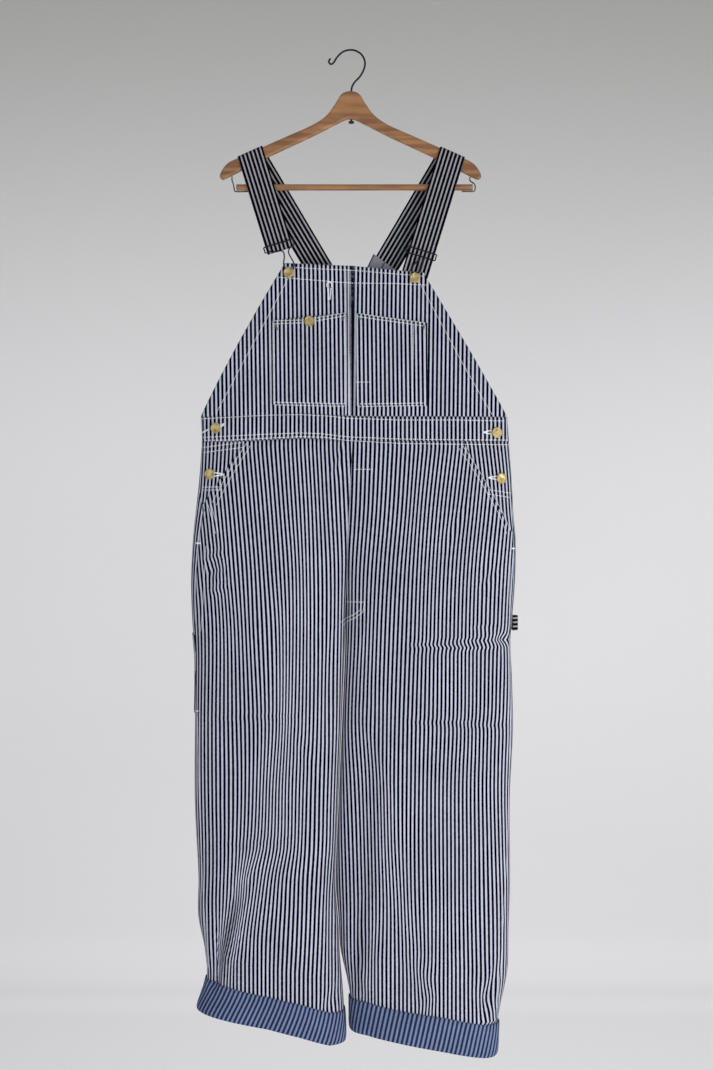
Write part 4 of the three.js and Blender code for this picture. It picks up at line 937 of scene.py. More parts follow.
@dataclass(frozen=True)
class MetalFinish:
    """Metal with tarnish and fine scratches."""

    name: str
    tint: tuple[int, int, int]
    tarnish: tuple[int, int, int]
    metallic: float
    roughness: float

    def material(self) -> bpy.types.Material:
        """Builds the material."""
        item = bpy.data.materials.new(self.name)
        item.use_nodes = True
        item.node_tree.nodes.clear()
        tree = Tree(item.node_tree)
        place = tree.add("ShaderNodeTexCoord").outputs["Object"]
        patch = tree.add("ShaderNodeTexNoise", {"Vector": place, "Scale": 160.0, "Detail": 4.0}).outputs[0]
        fine = tree.add("ShaderNodeTexNoise", {"Vector": place, "Scale": 1500.0, "Detail": 2.0}).outputs[0]
        base = tree.blend(tree.ramp(patch, 0.4, 0.75), colour(*self.tint), colour(*self.tarnish))
        bump = tree.add("ShaderNodeBump", {"Height": fine, "Strength": 0.15, "Distance": 0.0001}).outputs[0]
        low, high = self.roughness * 0.8, min(1.0, self.roughness * 1.3)
        shader = tree.add(
            "ShaderNodeBsdfPrincipled",
            {
                "Base Color": base,
                "Normal": bump,
                "Metallic": self.metallic,
                "Roughness": tree.ramp(patch, 0.3, 0.7, low, high),
            },
        )
        tree.add("ShaderNodeOutputMaterial", {"Surface": shader.outputs[0]})
        return item


@dataclass
class Finishes:
    """Every material of the model by a plain name."""

    items: dict[str, bpy.types.Material] = field(default_factory=dict)

    def build(self) -> "Finishes":
        """Makes all materials."""
        group = striped_cloth_group()
        self.items["twill"] = ClothFinish(
            "striped twill cloth", (0, 0, 14), (179, 182, 199), (68, 77, 110), 0.02
        ).material(group)
        self.items["strap"] = ClothFinish(
            "striped strap cloth", (0, 0, 4), (146, 146, 152), (54, 58, 78), 0.02, half=0.3
        ).material(group)
        self.items["reverse"] = ClothFinish(
            "cloth wrong side", (24, 32, 60), (112, 125, 156), (86, 99, 134), 0.3, 0.14, 0.5
        ).material(group)
        self.items["patch"] = ClothFinish(
            "joint patch cloth", (118, 112, 126), (152, 148, 160), (134, 130, 142), 0.3, 0.2, 0.4
        ).material(group)
        self.items["white"] = ThreadFinish("white thread", (236, 236, 238), (214, 212, 206)).material()
        self.items["green"] = ThreadFinish("green thread", (66, 104, 78), (40, 66, 52)).material()
        self.items["navy"] = ThreadFinish("navy thread", (34, 32, 66), (22, 22, 46)).material()
        self.items["wood"] = WoodFinish("hanger wood", (150, 106, 64), (112, 72, 38)).material()
        self.items["brass"] = MetalFinish("button brass", (184, 165, 118), (128, 109, 62), 0.9, 0.45).material()
        self.items["black_wire"] = MetalFinish("black wire", (30, 30, 34), (18, 18, 20), 0.7, 0.42).material()
        self.items["steel_wire"] = MetalFinish("steel wire", (88, 88, 92), (56, 54, 54), 0.9, 0.4).material()
        LOG.info("finishes: %d materials", len(self.items))
        return self

    def dress(self, item: bpy.types.Object, *names: str) -> bpy.types.Object:
        """Gives an object its materials in order."""
        item.data.materials.clear()
        for name in names:
            item.data.materials.append(self.items[name])
        return item


@dataclass
class Garment:
    """What the sub-assemblies share: finishes, and the outside surfaces that sewing lies on."""

    finishes: Finishes
    surfaces: dict[Face, list[tuple[np.ndarray, list[tuple[int, ...]]]]] = field(
        default_factory=lambda: {Face.FRONT: [], Face.BACK: []}
    )
    trees: dict[Face, BVHTree] = field(default_factory=dict)

    def remember(self, points: np.ndarray, *faces: Face) -> None:
        """Keeps a surface for sewing to find."""
        rows, columns = points.shape[:2]
        quads = []
        for i in range(rows - 1):
            for j in range(columns - 1):
                k = i * columns + j
                quads.append((k, k + 1, k + columns + 1, k + columns))
        for face in faces:
            self.surfaces[face].append((points.reshape(-1, 3), quads))

    def settle(self) -> None:
        """Builds the search trees once all cloth is made."""
        for face, parts in self.surfaces.items():
            verts, quads, start = [], [], 0
            for points, part in parts:
                verts.extend(map(tuple, points))
                quads.extend(tuple(i + start for i in quad) for quad in part)
                start += len(points)
            self.trees[face] = BVHTree.FromPolygons(verts, quads)

    def hit(self, face: Face, x: float, z: float) -> tuple[Vector, Vector] | None:
        """The cloth's place and normal behind a place of the picture plane.

        Args:
            face: side that is looked at; the front is seen from the camera, the back squarely.
            x: X in the plane Y = 0.
            z: Z in the plane Y = 0.
        Returns:
            The place and its outward normal, or None beside the cloth.
        """
        if face is Face.FRONT:
            start = Vector((CAMERA_X, CAMERA_Y, CAMERA_Z))
            run = (Vector((x, 0.0, z)) - start).normalized()
        else:
            start = Vector((x, 500.0, z))
            run = Vector((0.0, -1.0, 0.0))
        place, normal, _, _ = self.trees[face].ray_cast(start, run)
        if place is None:
            return None
        if normal.dot(run) > 0:
            normal = -normal
        return place, normal

    def cloth(
        self,
        name: str,
        grid: ClothGrid,
        wall: float,
        flat: tuple[float, float],
        nodes: tuple[str, ...],
        faces: tuple[Face, ...],
        slot: str = "twill",
        finish: str = "twill",
        rests_on: tuple[str, ...] = ("hanger_body",),
    ) -> bpy.types.Object:
        """Args:
            name: name of the piece.
            grid: its outside points.
            wall: thickness inwards, in millimetres.
            flat: width and length of its cut, in metres.
            nodes: the solids it stands for.
            faces: sides on which sewing may find it.
            slot: the record's material slot; not used.
            finish: the material's name.
            rests_on: what carries it; not used.
        Returns:
            The object.
        """
        item = Shape.grid(name, grid.points, grid.uv(), grid.normals)
        solid = item.modifiers.new("wall", "SOLIDIFY")
        solid.thickness = wall * MM
        solid.offset = -1.0
        solid.use_even_offset = True
        solid.material_offset = 1
        self.finishes.dress(item, finish, "reverse")
        self.remember(grid.points, *faces)
        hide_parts(*nodes)
        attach(item, "root")
        LOG.info("%s: %d faces, area %.3f of %.3f m2", name, len(item.data.polygons), grid.area(), flat[0] * flat[1])
        return item


def bib_depth(face: Face, z: float) -> tuple[float, float]:
    """How far the trunk bellies out above the waist, and how far it stands off the middle."""
    up = clamp((z - WAIST_TOP) / (BIB_TOP_RIGHT - WAIST_TOP), 0.0, 1.0)
    at_waist = LEG_ROWS[Leg.RIGHT].at("front" if face is Face.FRONT else "back", WAIST_TOP)
    reach = 9.0 if face is Face.FRONT else 10.5
    return mix(at_waist, 5.0, float(smooth(up))), reach * float(smooth(up))


def bib_place(face: Face, x: float, z: float) -> tuple[np.ndarray, np.ndarray]:
    """Point and normal of the trunk above the waist at a place of the front view."""
    centre = CENTRE.at("x", z)
    outer = LEG_ROWS[Leg.RIGHT if x < centre else Leg.LEFT].at("outer", WAIST_TOP)
    ratio = clamp((x - centre) / abs(outer - centre), -1.0, 1.0)
    belly, lift = bib_depth(face, z)
    bulge = (1 - abs(ratio) ** SECTION_POWER) ** (1 / SECTION_POWER)
    gx = float(signed_power(ratio, SECTION_POWER - 1)) / TRUNK_HALF
    gy = bulge ** (SECTION_POWER - 1) / belly
    size = math.hypot(gx, gy)
    normal = np.array([gx / size, face.value * gy / size, 0.0])
    rise = fold_rise(TRUNK_FOLDS[face], np.array(x), np.array(z)) + undulation(np.array(x), np.array(z), 1.9)
    fade = smooth((z - WAIST_TOP) / 14.0) if z > WAIST_TOP else 0.0
    place = np.array([x, face.value * (lift + belly * bulge), z]) + normal * float(rise) * float(fade)
    return place, normal


def bib_stripe(leg: Leg, x: np.ndarray, z: np.ndarray) -> np.ndarray:
    """Stripe number of the bib: each half leans a little towards the middle going down."""
    if leg is Leg.RIGHT:
        number = (x + 11.2 - 0.0155 * (-410.0 - z)) / 6.95
        return np.where(x > 1.2, 2.24, np.where(x > -4.6, 1.0 + (x + 4.6) * 0.2, number))
    return (x - 12.9 + 0.0125 * (-410.0 - z)) / 6.95


@dataclass
class Trunk:
    """Bib, chest pockets, waistband and back bib."""

    garment: Garment
    bib_rows: int = 56
    bib_steps: int = 34

    def build(self) -> None:
        """Makes all pieces of the trunk."""
        for leg in Leg:
            self.build_bib(leg)
            self.build_chest_pocket(leg)
        self.build_waistband()
        self.build_back()

    def bib_edge(self, leg: Leg, v: float) -> tuple[float, float]:
        """Outer edge of the bib at a share of its height."""
        corner = BIB_CORNERS[leg]
        outer = LEG_ROWS[leg].at("outer", WAIST_TOP)
        foot = WAIST_TOP + SEAM_GAP / 2
        if v > BIB_BREAK:
            t = (v - BIB_BREAK) / (1 - BIB_BREAK)
            return mix(corner["corner_x"], corner["hem_x"], t), mix(corner["corner_z"], corner["hem_z"], t)
        t = v / BIB_BREAK
        bow = leg.side * corner["bow"] * 4 * t * (1 - t)
        return mix(outer, corner["corner_x"], t) + bow, mix(foot, corner["corner_z"], t)

    def build_bib(self, leg: Leg) -> None:
        """One half of the bib; the right half laps over the centre seam as a low ridge."""
        rows = []
        for i in range(self.bib_rows + 1):
            v = i / self.bib_rows
            edge_x, edge_z = self.bib_edge(leg, v)
            centre_z = mix(WAIST_TOP + SEAM_GAP / 2, BIB_TOP_CENTRE, v)
            places, normals, xs, zs = [], [], [], []
            for j in range(self.bib_steps + 1):
                s = (j / self.bib_steps) ** 1.15
                z = mix(edge_z, centre_z, s)
                x = mix(edge_x, CENTRE.at("x", z) + leg.side * SEAM_GAP / 2, s)
                place, normal = bib_place(Face.FRONT, x, z)
                if leg is Leg.RIGHT:
                    place = place + normal * 0.9 * float(smooth((x - CENTRE.at("x", z) + 11.0) / 2.5))
                places.append(place)
                normals.append(normal)
                xs.append(x)
                zs.append(z)
            seen_x, seen_z = picture_plane(np.array(places))
            rows.append((np.array(places), np.array(normals), bib_stripe(leg, seen_x, seen_z)))
        grid = grid_of(rows)
        self.garment.cloth(
            f"bib_half_{leg.value}", grid, WALL, (0.28, 0.30), (f"bib_{leg.value}",), (Face.FRONT,)
        )

    def build_chest_pocket(self, leg: Leg) -> None:
        """One patch pocket, its mouth standing off the bib a little."""
        pocket = CHEST_POCKETS[leg]
        steps = 26
        rows = []
        for i in range(steps + 1):
            v = i / steps
            places, normals = [], []
            for j in range(steps + 1):
                u = j / steps
                top = mix(pocket["top0"], pocket["top1"], u)
                x, z = mix(pocket["x0"], pocket["x1"], u), mix(pocket["bottom"], top, v)
                place, normal = bib_place(Face.FRONT, x, z)
                gape = 1.5 * float(smooth((v - 0.75) / 0.25)) * math.sin(math.pi * u)
                edge = min(u, 1 - u, v) * steps
                lift = LAY_GAP + PATCH_WALL - 0.3 * (1 - float(smooth(edge)))
                places.append(place + normal * (lift + gape))
                normals.append(normal)
            seen_x, seen_z = picture_plane(np.array(places))
            first = -122.0 if leg is Leg.RIGHT else 15.8
            rows.append((np.array(places), np.array(normals), (seen_x - first + 0.012 * (seen_z + 525.0)) / 6.93))
        grid = grid_of(rows)
        self.garment.cloth(
            f"chest_patch_{leg.value}", grid, PATCH_WALL, (0.15, 0.20), (f"chest_pocket_{leg.value}",),
            (Face.FRONT,), rests_on=(f"bib_{leg.value}",),
        )

    def build_waistband(self) -> None:
        """The band across the front from side to side."""
        rows = []
        for z in heights(WAIST_TOP - SEAM_GAP / 2, WAIST_SEAM + SEAM_GAP / 2, 4.0):
            halves = []
            for leg in Leg:
                line = leg_line(leg, Face.FRONT, float(z))
                arcs = spread(SEAM_GAP / 2, line.length, 54)
                x, y, nx, ny = line.along(arcs)
                edge = min(WAIST_TOP - z, z - WAIST_SEAM)
                out = BAND_EXTRA * float(smooth(edge / 2.0)) + 0.5 * undulation(x, np.full_like(x, z), 4.0)
                out = out * smooth(arcs / 10.0)
                halves.append(np.stack([x, y, np.full_like(x, z), nx, ny, out], axis=-1))
            row = np.vstack([halves[0], halves[1][:-1][::-1]])
            normals = np.stack([row[:, 3], row[:, 4], np.zeros(len(row))], axis=-1)
            places = row[:, :3] + normals * row[:, 5:6]
            arc = np.concatenate([[0.0], np.cumsum(np.linalg.norm(np.diff(row[:, :3], axis=0), axis=1))])
            start = float(np.interp(-104.3, row[:, 0], arc))
            rows.append((places, normals, (arc - start) / 6.93))
        grid = grid_of(rows)
        self.garment.cloth(
            "waistband", grid, WALL + BAND_EXTRA, (0.56, 0.045), ("waistband_front",), (Face.FRONT,),
            rests_on=("bib_right", "bib_left"),
        )

    def back_edge(self, leg: Leg, z: float) -> float:
        """Outer edge of the back bib, cut away under the arms."""
        outer = LEG_ROWS[leg].at("outer", WAIST_TOP)
        top = -90.0 if leg is Leg.RIGHT else 96.0
        t = clamp((BACK_TOP - z) / (BACK_TOP - WAIST_TOP), 0.0, 1.0)
        return mix(top, outer, t**1.8)

    def build_back(self) -> None:
        """The back bib from the waist seam up to the straps' joint."""
        rows = []
        for z in heights(BACK_TOP, WAIST_SEAM + SEAM_GAP / 2, 5.0):
            z = float(z)
            belly, lift = bib_depth(Face.BACK, z)
            below = z < WAIST_TOP
            halves = []
            for leg in Leg:
                line = half_section(
                    LEG_ROWS[leg].at("outer", min(z, WAIST_TOP)), CENTRE.at("x", z),
                    LEG_ROWS[leg].at("back", z) if below else belly, math.pi / 2, 0.0 if below else lift, 1,
                )
                start = 0.0 if below else line.arc_at(self.back_edge(leg, z))
                arcs = spread(start + SEAM_GAP / 2, line.length, 44)
                x, y, nx, ny = line.along(arcs)
                height = np.full_like(x, z)
                rise = fold_rise(TRUNK_FOLDS[Face.BACK], x, height) + undulation(x, height, 2.7)
                fade = smooth((arcs - start) / 14.0) * smooth((z - WAIST_SEAM) / 12.0)
                halves.append(np.stack([x, y, height, nx, ny, rise * fade], axis=-1))
            row = np.vstack([halves[0], halves[1][:-1][::-1]])
            normals = np.stack([row[:, 3], row[:, 4], np.zeros(len(row))], axis=-1)
            places = row[:, :3] + normals * row[:, 5:6]
            arc = np.concatenate([[0.0], np.cumsum(np.linalg.norm(np.diff(row[:, :3], axis=0), axis=1))])
            start = float(np.interp(CENTRE.at("x", z), row[:, 0], arc))
            rows.append((places, normals, (arc - start) / PERIOD + 0.25))
        grid = grid_of(rows)
        self.garment.cloth("back_bib_cloth", grid, WALL, (0.56, 0.30), ("back_bib",), (Face.BACK,))


@dataclass
class Legs:
    """Leg panels, hip facings, the rule pocket, the turn-ups and the hammer loop."""

    garment: Garment
    spacing: float = 5.5
    columns: int = 58

    def build(self) -> None:
        """Makes all pieces of the legs."""
        for leg in Leg:
            fronts = self.front_grid(leg)
            backs = self.back_grid(leg)
            self.garment.cloth(
                f"front_leg_{leg.value}", fronts, WALL, (0.36, 1.03), (f"leg_front_{leg.value}",), (Face.FRONT,),
                rests_on=("waistband_front",),
            )
            self.garment.cloth(
                f"back_leg_{leg.value}", backs, WALL, (0.36, 1.03), (f"leg_back_{leg.value}",),
                (Face.FRONT, Face.BACK), rests_on=("back_bib",),
            )
            self.build_facing(leg)
            self.build_cuff(leg)
        self.build_rule_pocket()
        self.build_hammer_loop()

    def rows(self, leg: Leg) -> np.ndarray:
        """Heights of the rows of a leg's mesh."""
        return heights(WAIST_SEAM - SEAM_GAP / 2, HEM[leg], self.spacing)

    def front_grid(self, leg: Leg) -> ClothGrid:
        """Front leg, its pocket mouth a little proud of the facing."""
        rows = []
        for z in self.rows(leg):
            line = leg_line(leg, Face.FRONT, float(z))
            start = front_start(leg, float(z), line) + SEAM_GAP / 2
            arcs = spread(start, line.length - SEAM_GAP / 2, self.columns)
            points, normals = leg_row(leg, Face.FRONT, float(z), line, arcs)
            lip = 0.9 * (1 - smooth((arcs - start - 3.0) / 5.0)) * float(smooth((z - MOUTHS[leg][2]) / 12.0))
            if leg is Leg.LEFT:
                fly = np.exp(-(((points[:, 0] - mix(41.0, 24.0, (WAIST_SEAM - z) / 260.0)) / 2.2) ** 2))
                lip = lip + 0.8 * fly * float(smooth((z + 930.0) / 20.0))
            kink = fold_shift(FOLDS[leg, Face.FRONT], points[:, 0], points[:, 2]) / PERIOD
            rows.append((points + normals * lip[:, None], normals, stripe_numbers(leg, line, float(z), arcs) + kink))
        return grid_of(rows)

    def back_grid(self, leg: Leg) -> ClothGrid:
        """Back leg, which starts a little round the front at the outseam."""
        rows = []
        for z in self.rows(leg):
            front = leg_line(leg, Face.FRONT, float(z))
            back = leg_line(leg, Face.BACK, float(z))
            seam = LEG_ROWS[leg].at("seam", float(z)) - SEAM_GAP / 2
            lead = np.linspace(seam, 0.0, 4)[:-1]
            a_points, a_normals = leg_row(leg, Face.FRONT, float(z), front, lead)
            arcs = spread(0.0, back.length - SEAM_GAP / 2, self.columns)
            b_points, b_normals = leg_row(leg, Face.BACK, float(z), back, arcs)
            stripes = np.concatenate([-lead, arcs]) / PERIOD
            lean = 0.012 * (WAIST_SEAM - z) / PERIOD
            rows.append((np.vstack([a_points, b_points]), np.vstack([a_normals, b_normals]), stripes - lean))
        return grid_of(rows)

    def build_facing(self, leg: Leg) -> None:
        """The facing that shows between the pocket's mouth and the side."""
        rows = []
        for z in heights(WAIST_SEAM - SEAM_GAP / 2, MOUTHS[leg][2], self.spacing):
            line = leg_line(leg, Face.FRONT, float(z))
            start = LEG_ROWS[leg].at("seam", float(z)) + SEAM_GAP / 2
            end = front_start(leg, float(z), line) - SEAM_GAP / 2
            arcs = np.linspace(start, max(end, start + 1.0), 16)
            points, normals = leg_row(leg, Face.FRONT, float(z), line, arcs)
            lean = 0.083 if leg is Leg.RIGHT else 0.03
            rows.append((points, normals, (arcs - lean * (WAIST_SEAM - z)) / 6.6))
        grid = grid_of(rows)
        self.garment.cloth(
            f"pocket_facing_{leg.value}", grid, WALL, (0.10, 0.16), (f"hip_facing_{leg.value}",), (Face.FRONT,),
            rests_on=("waistband_front",),
        )

    def build_rule_pocket(self) -> None:
        """Patch on the right back leg that wraps a little to the front."""
        leg = Leg.RIGHT
        rows = []
        for z in heights(-959.0, -1090.0, 5.0):
            front = leg_line(leg, Face.FRONT, float(z))
            back = leg_line(leg, Face.BACK, float(z))
            seam = LEG_ROWS[leg].at("seam", float(z)) - SEAM_GAP / 2
            lead = np.linspace(seam, 0.0, 4)[:-1]
            reach = 0.3095 * (back.length - SEAM_GAP / 2)
            a_points, a_normals = leg_row(leg, Face.FRONT, float(z), front, lead)
            arcs = np.linspace(0.0, reach, 22)
            b_points, b_normals = leg_row(leg, Face.BACK, float(z), back, arcs)
            normals = np.vstack([a_normals, b_normals])
            places = np.vstack([a_points, b_points]) + normals * (LAY_GAP + PATCH_WALL)
            rows.append((places, normals, np.concatenate([-lead, arcs]) / PERIOD + 0.2))
        self.garment.cloth(
            "rule_patch", grid_of(rows), PATCH_WALL, (0.13, 0.16), ("rule_pocket",), (Face.FRONT, Face.BACK),
            rests_on=("leg_back_right",),
        )

    def around(self, leg: Leg, ups: np.ndarray) -> tuple[np.ndarray, np.ndarray, np.ndarray]:
        """Points and normals round a whole leg at heights above the hem.

        Args:
            leg: the side.
            ups: heights above the hem, in millimetres.
        Returns:
            Points and normals, heights x places x 3, and the distance round.
        """
        points, normals = [], []
        for up in ups:
            z = HEM[leg] + float(up)
            front = leg_line(leg, Face.FRONT, z)
            back = leg_line(leg, Face.BACK, z)
            fa = spread(0.0, front.length, 70)
            ba = spread(0.0, back.length, 70)[::-1][1:-1]
            fp, fn = leg_row(leg, Face.FRONT, z, front, fa)
            bp, bn = leg_row(leg, Face.BACK, z, back, ba)
            points.append(np.vstack([fp, bp]))
            normals.append(np.vstack([fn, bn]))
        base = points[len(points) // 2]
        arc = np.concatenate([[0.0], np.cumsum(np.linalg.norm(np.diff(base, axis=0), axis=1))])
        return np.array(points), np.array(normals), arc

    def build_cuff(self, leg: Leg) -> None:
        """The turn-up: the cloth's wrong side out, its lower edge a soft roll."""
        profile = (
            (1.0, 0.9), (1.004, 1.8), (1.0, 2.7), (0.9, 3.2), (0.78, 3.5), (0.62, 3.8), (0.46, 4.0), (0.3, 4.1),
            (0.17, 4.0), (0.08, 3.6), (0.02, 2.9), (-0.02, 1.9), (-0.036, 0.8), (-0.034, -0.4), (-0.02, -1.3),
            (-0.004, -1.3), (0.0, 0.3), (0.1, 1.2), (0.3, 1.7), (0.6, 1.8), (0.85, 1.5), (1.0, 0.9),
        )
        ups = np.array([up * CUFF_HEIGHT[leg] for up, _ in profile])
        points, normals, arc = self.around(leg, ups)
        x = points[..., 0]
        wave = 1.0 + 0.12 * np.sin(x / 19.0 + leg.side) + 0.08 * np.sin(x / 7.3)
        outs = np.array([out for _, out in profile])[:, None]
        outside = np.where((outs > 2.0), outs * wave, outs)
        places = points + normals * outside[..., None]
        places[..., 2] += 0.9 * np.sin(x / 23.0 + 1.4 * leg.side) * (ups[:, None] > 0.7 * CUFF_HEIGHT[leg])
        tilt = 0.26 if leg is Leg.RIGHT else 0.2
        stripes = (arc[None, :] * -leg.side - ups[:, None] * tilt) / 7.3
        lengths = np.repeat((ups / PERIOD)[:, None], points.shape[1], axis=1)
        uv = np.dstack([stripes, lengths])
        places = np.concatenate([places, places[:, :1]], axis=1)
        last = uv[:, -1:] + (uv[:, -1:] - uv[:, -2:-1])
        uv = np.concatenate([uv, last], axis=1)
        name = f"turn_up_{leg.value}"
        item = Shape.grid(name, places, uv, wrap=True)
        self.garment.finishes.dress(item, "reverse")
        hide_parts(f"cuff_{leg.value}")
        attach(item, "root")
        self.garment.remember(places, Face.FRONT, Face.BACK)
        LOG.info("%s: %d faces", name, len(item.data.polygons))

    def build_hammer_loop(self) -> None:
        """The loop that stands off the left side."""
        z = -943.5
        back = leg_line(Leg.LEFT, Face.BACK, z)

        def on_leg(arc: float) -> tuple[float, float]:
            """A place just outside the back leg."""
            points, normals = leg_row(Leg.LEFT, Face.BACK, z, back, np.array([arc]))
            spot = points[0] + normals[0] * (STRAP_THICK / 2 + 3 * LAY_GAP)
            return float(spot[0]), float(spot[1])

        route = np.array([
            on_leg(3), (275, 9), (277, 20), (266, 33), (247, 41), on_leg(82), on_leg(94), on_leg(106),
        ])
        path = Shape.curve(route, 46)
        runs = np.gradient(path, axis=0)
        runs /= np.linalg.norm(runs, axis=1)[:, None]
        side = np.stack([runs[:, 1], -runs[:, 0]], axis=-1)
        profile = Straps.profile(25.0)
        rings, uv = [], []
        arc = np.concatenate([[0.0], np.cumsum(np.linalg.norm(np.diff(path, axis=0), axis=1))])
        for i, centre in enumerate(path):
            ring = []
            for across, out in profile:
                spot = centre + side[i] * out
                ring.append((spot[0], spot[1], z + across))
            rings.append(ring)
            uv.append([(across / PERIOD + 0.3, arc[i] / PERIOD) for across, _ in profile])
        item = Shape.grid("hammer_loop_cloth", np.array(rings), np.array(uv), wrap=True, caps=True)
        self.garment.finishes.dress(item, "strap")
        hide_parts("hammer_loop")
        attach(item, "root")


@dataclass(frozen=True)
class StrapRun:
    """One strap: where its front foot and its back end are, and its tail."""

    leg: Leg
    foot: tuple[float, float]
    back: tuple[float, float]
    tail: float
    folded: bool
    slide: float


STRAP_RUNS = (
    StrapRun(Leg.RIGHT, (-115.5, -327.5), (-36.5, -380.0), 42.0, True, 8.0),
    StrapRun(Leg.LEFT, (115.5, -341.0), (42.0, -380.0), 32.0, False, 10.0),
)


class StrapFrame:
    """A straight ribbon laid over the hanger's arm, worked out on the unrolled plane."""

    def __init__(self, run: StrapRun) -> None:
        """Sets the arm's directions and both ends on the unrolled plane."""
        side = run.leg.side
        arm = Vector((side * (ARM_OUTER[0] - ARM_INNER[0]), 0.0, ARM_OUTER[1] - ARM_INNER[1]))
        self.along = arm.normalized()
        self.down = Vector((self.along.z * side, 0.0, -self.along.x * side))
        self.origin = Vector((HANGER_X + side * ARM_INNER[0], 0.0, ARM_INNER[1]))
        self.inner = ARM_THICK / 2 + 1.6 * LAY_GAP
        self.turn = math.pi * (self.inner + STRAP_THICK / 2)
        foot = Vector((run.foot[0], 0.0, run.foot[1])) - self.origin
        end = Vector((run.back[0], 0.0, run.back[1])) - self.origin
        self.front_u = foot.dot(self.along)
        self.front_w = -(foot.dot(self.down) - ARM_THICK / 2) - self.turn / 2
        self.back_u = end.dot(self.along)
        self.back_w = end.dot(self.down) - ARM_THICK / 2 + self.turn / 2
        self.length = math.hypot(self.back_u - self.front_u, self.back_w - self.front_w)

    def point(self, share: float, across: float, lift: float) -> np.ndarray:
        """A place on the strap.

        Args:
            share: share of its length from the front foot.
            across: distance from its middle line.
            lift: distance outwards.
        Returns:
            The place.
        """
        run_u = self.back_u - self.front_u
        run_w = self.back_w - self.front_w
        half = self.turn / 2
        lean = 1 - float(smooth((abs(self.front_w + run_w * share) - half - 6) / 50))
        shift = lean * across * run_u / run_w
        u = self.front_u + run_u * share + (across * run_w + shift * run_u) / self.length
        w = self.front_w + run_w * share + (shift * run_w - across * run_u) / self.length
        radius = self.inner + STRAP_THICK / 2 + lift
        spot = self.origin + self.along * u
        if abs(w) <= half:
            angle = w / half * math.pi / 2
            spot = spot + self.down * (ARM_THICK / 2 - radius * math.cos(angle))
            spot.y = radius * math.sin(angle)
            return np.array(spot)
        drop = abs(w) - half
        spot = spot + self.down * (ARM_THICK / 2 + drop)
        way = 1 if w > 0 else -1
        reach = (-self.front_w if way < 0 else self.back_w) - half
        target = -STRAP_FOOT_Y if way < 0 else STRAP_BACK_Y
        rest = self.inner + STRAP_THICK / 2
        spot.y = way * (mix(rest, target, clamp(drop / reach, 0.0, 1.4)) + lift)
        return np.array(spot)


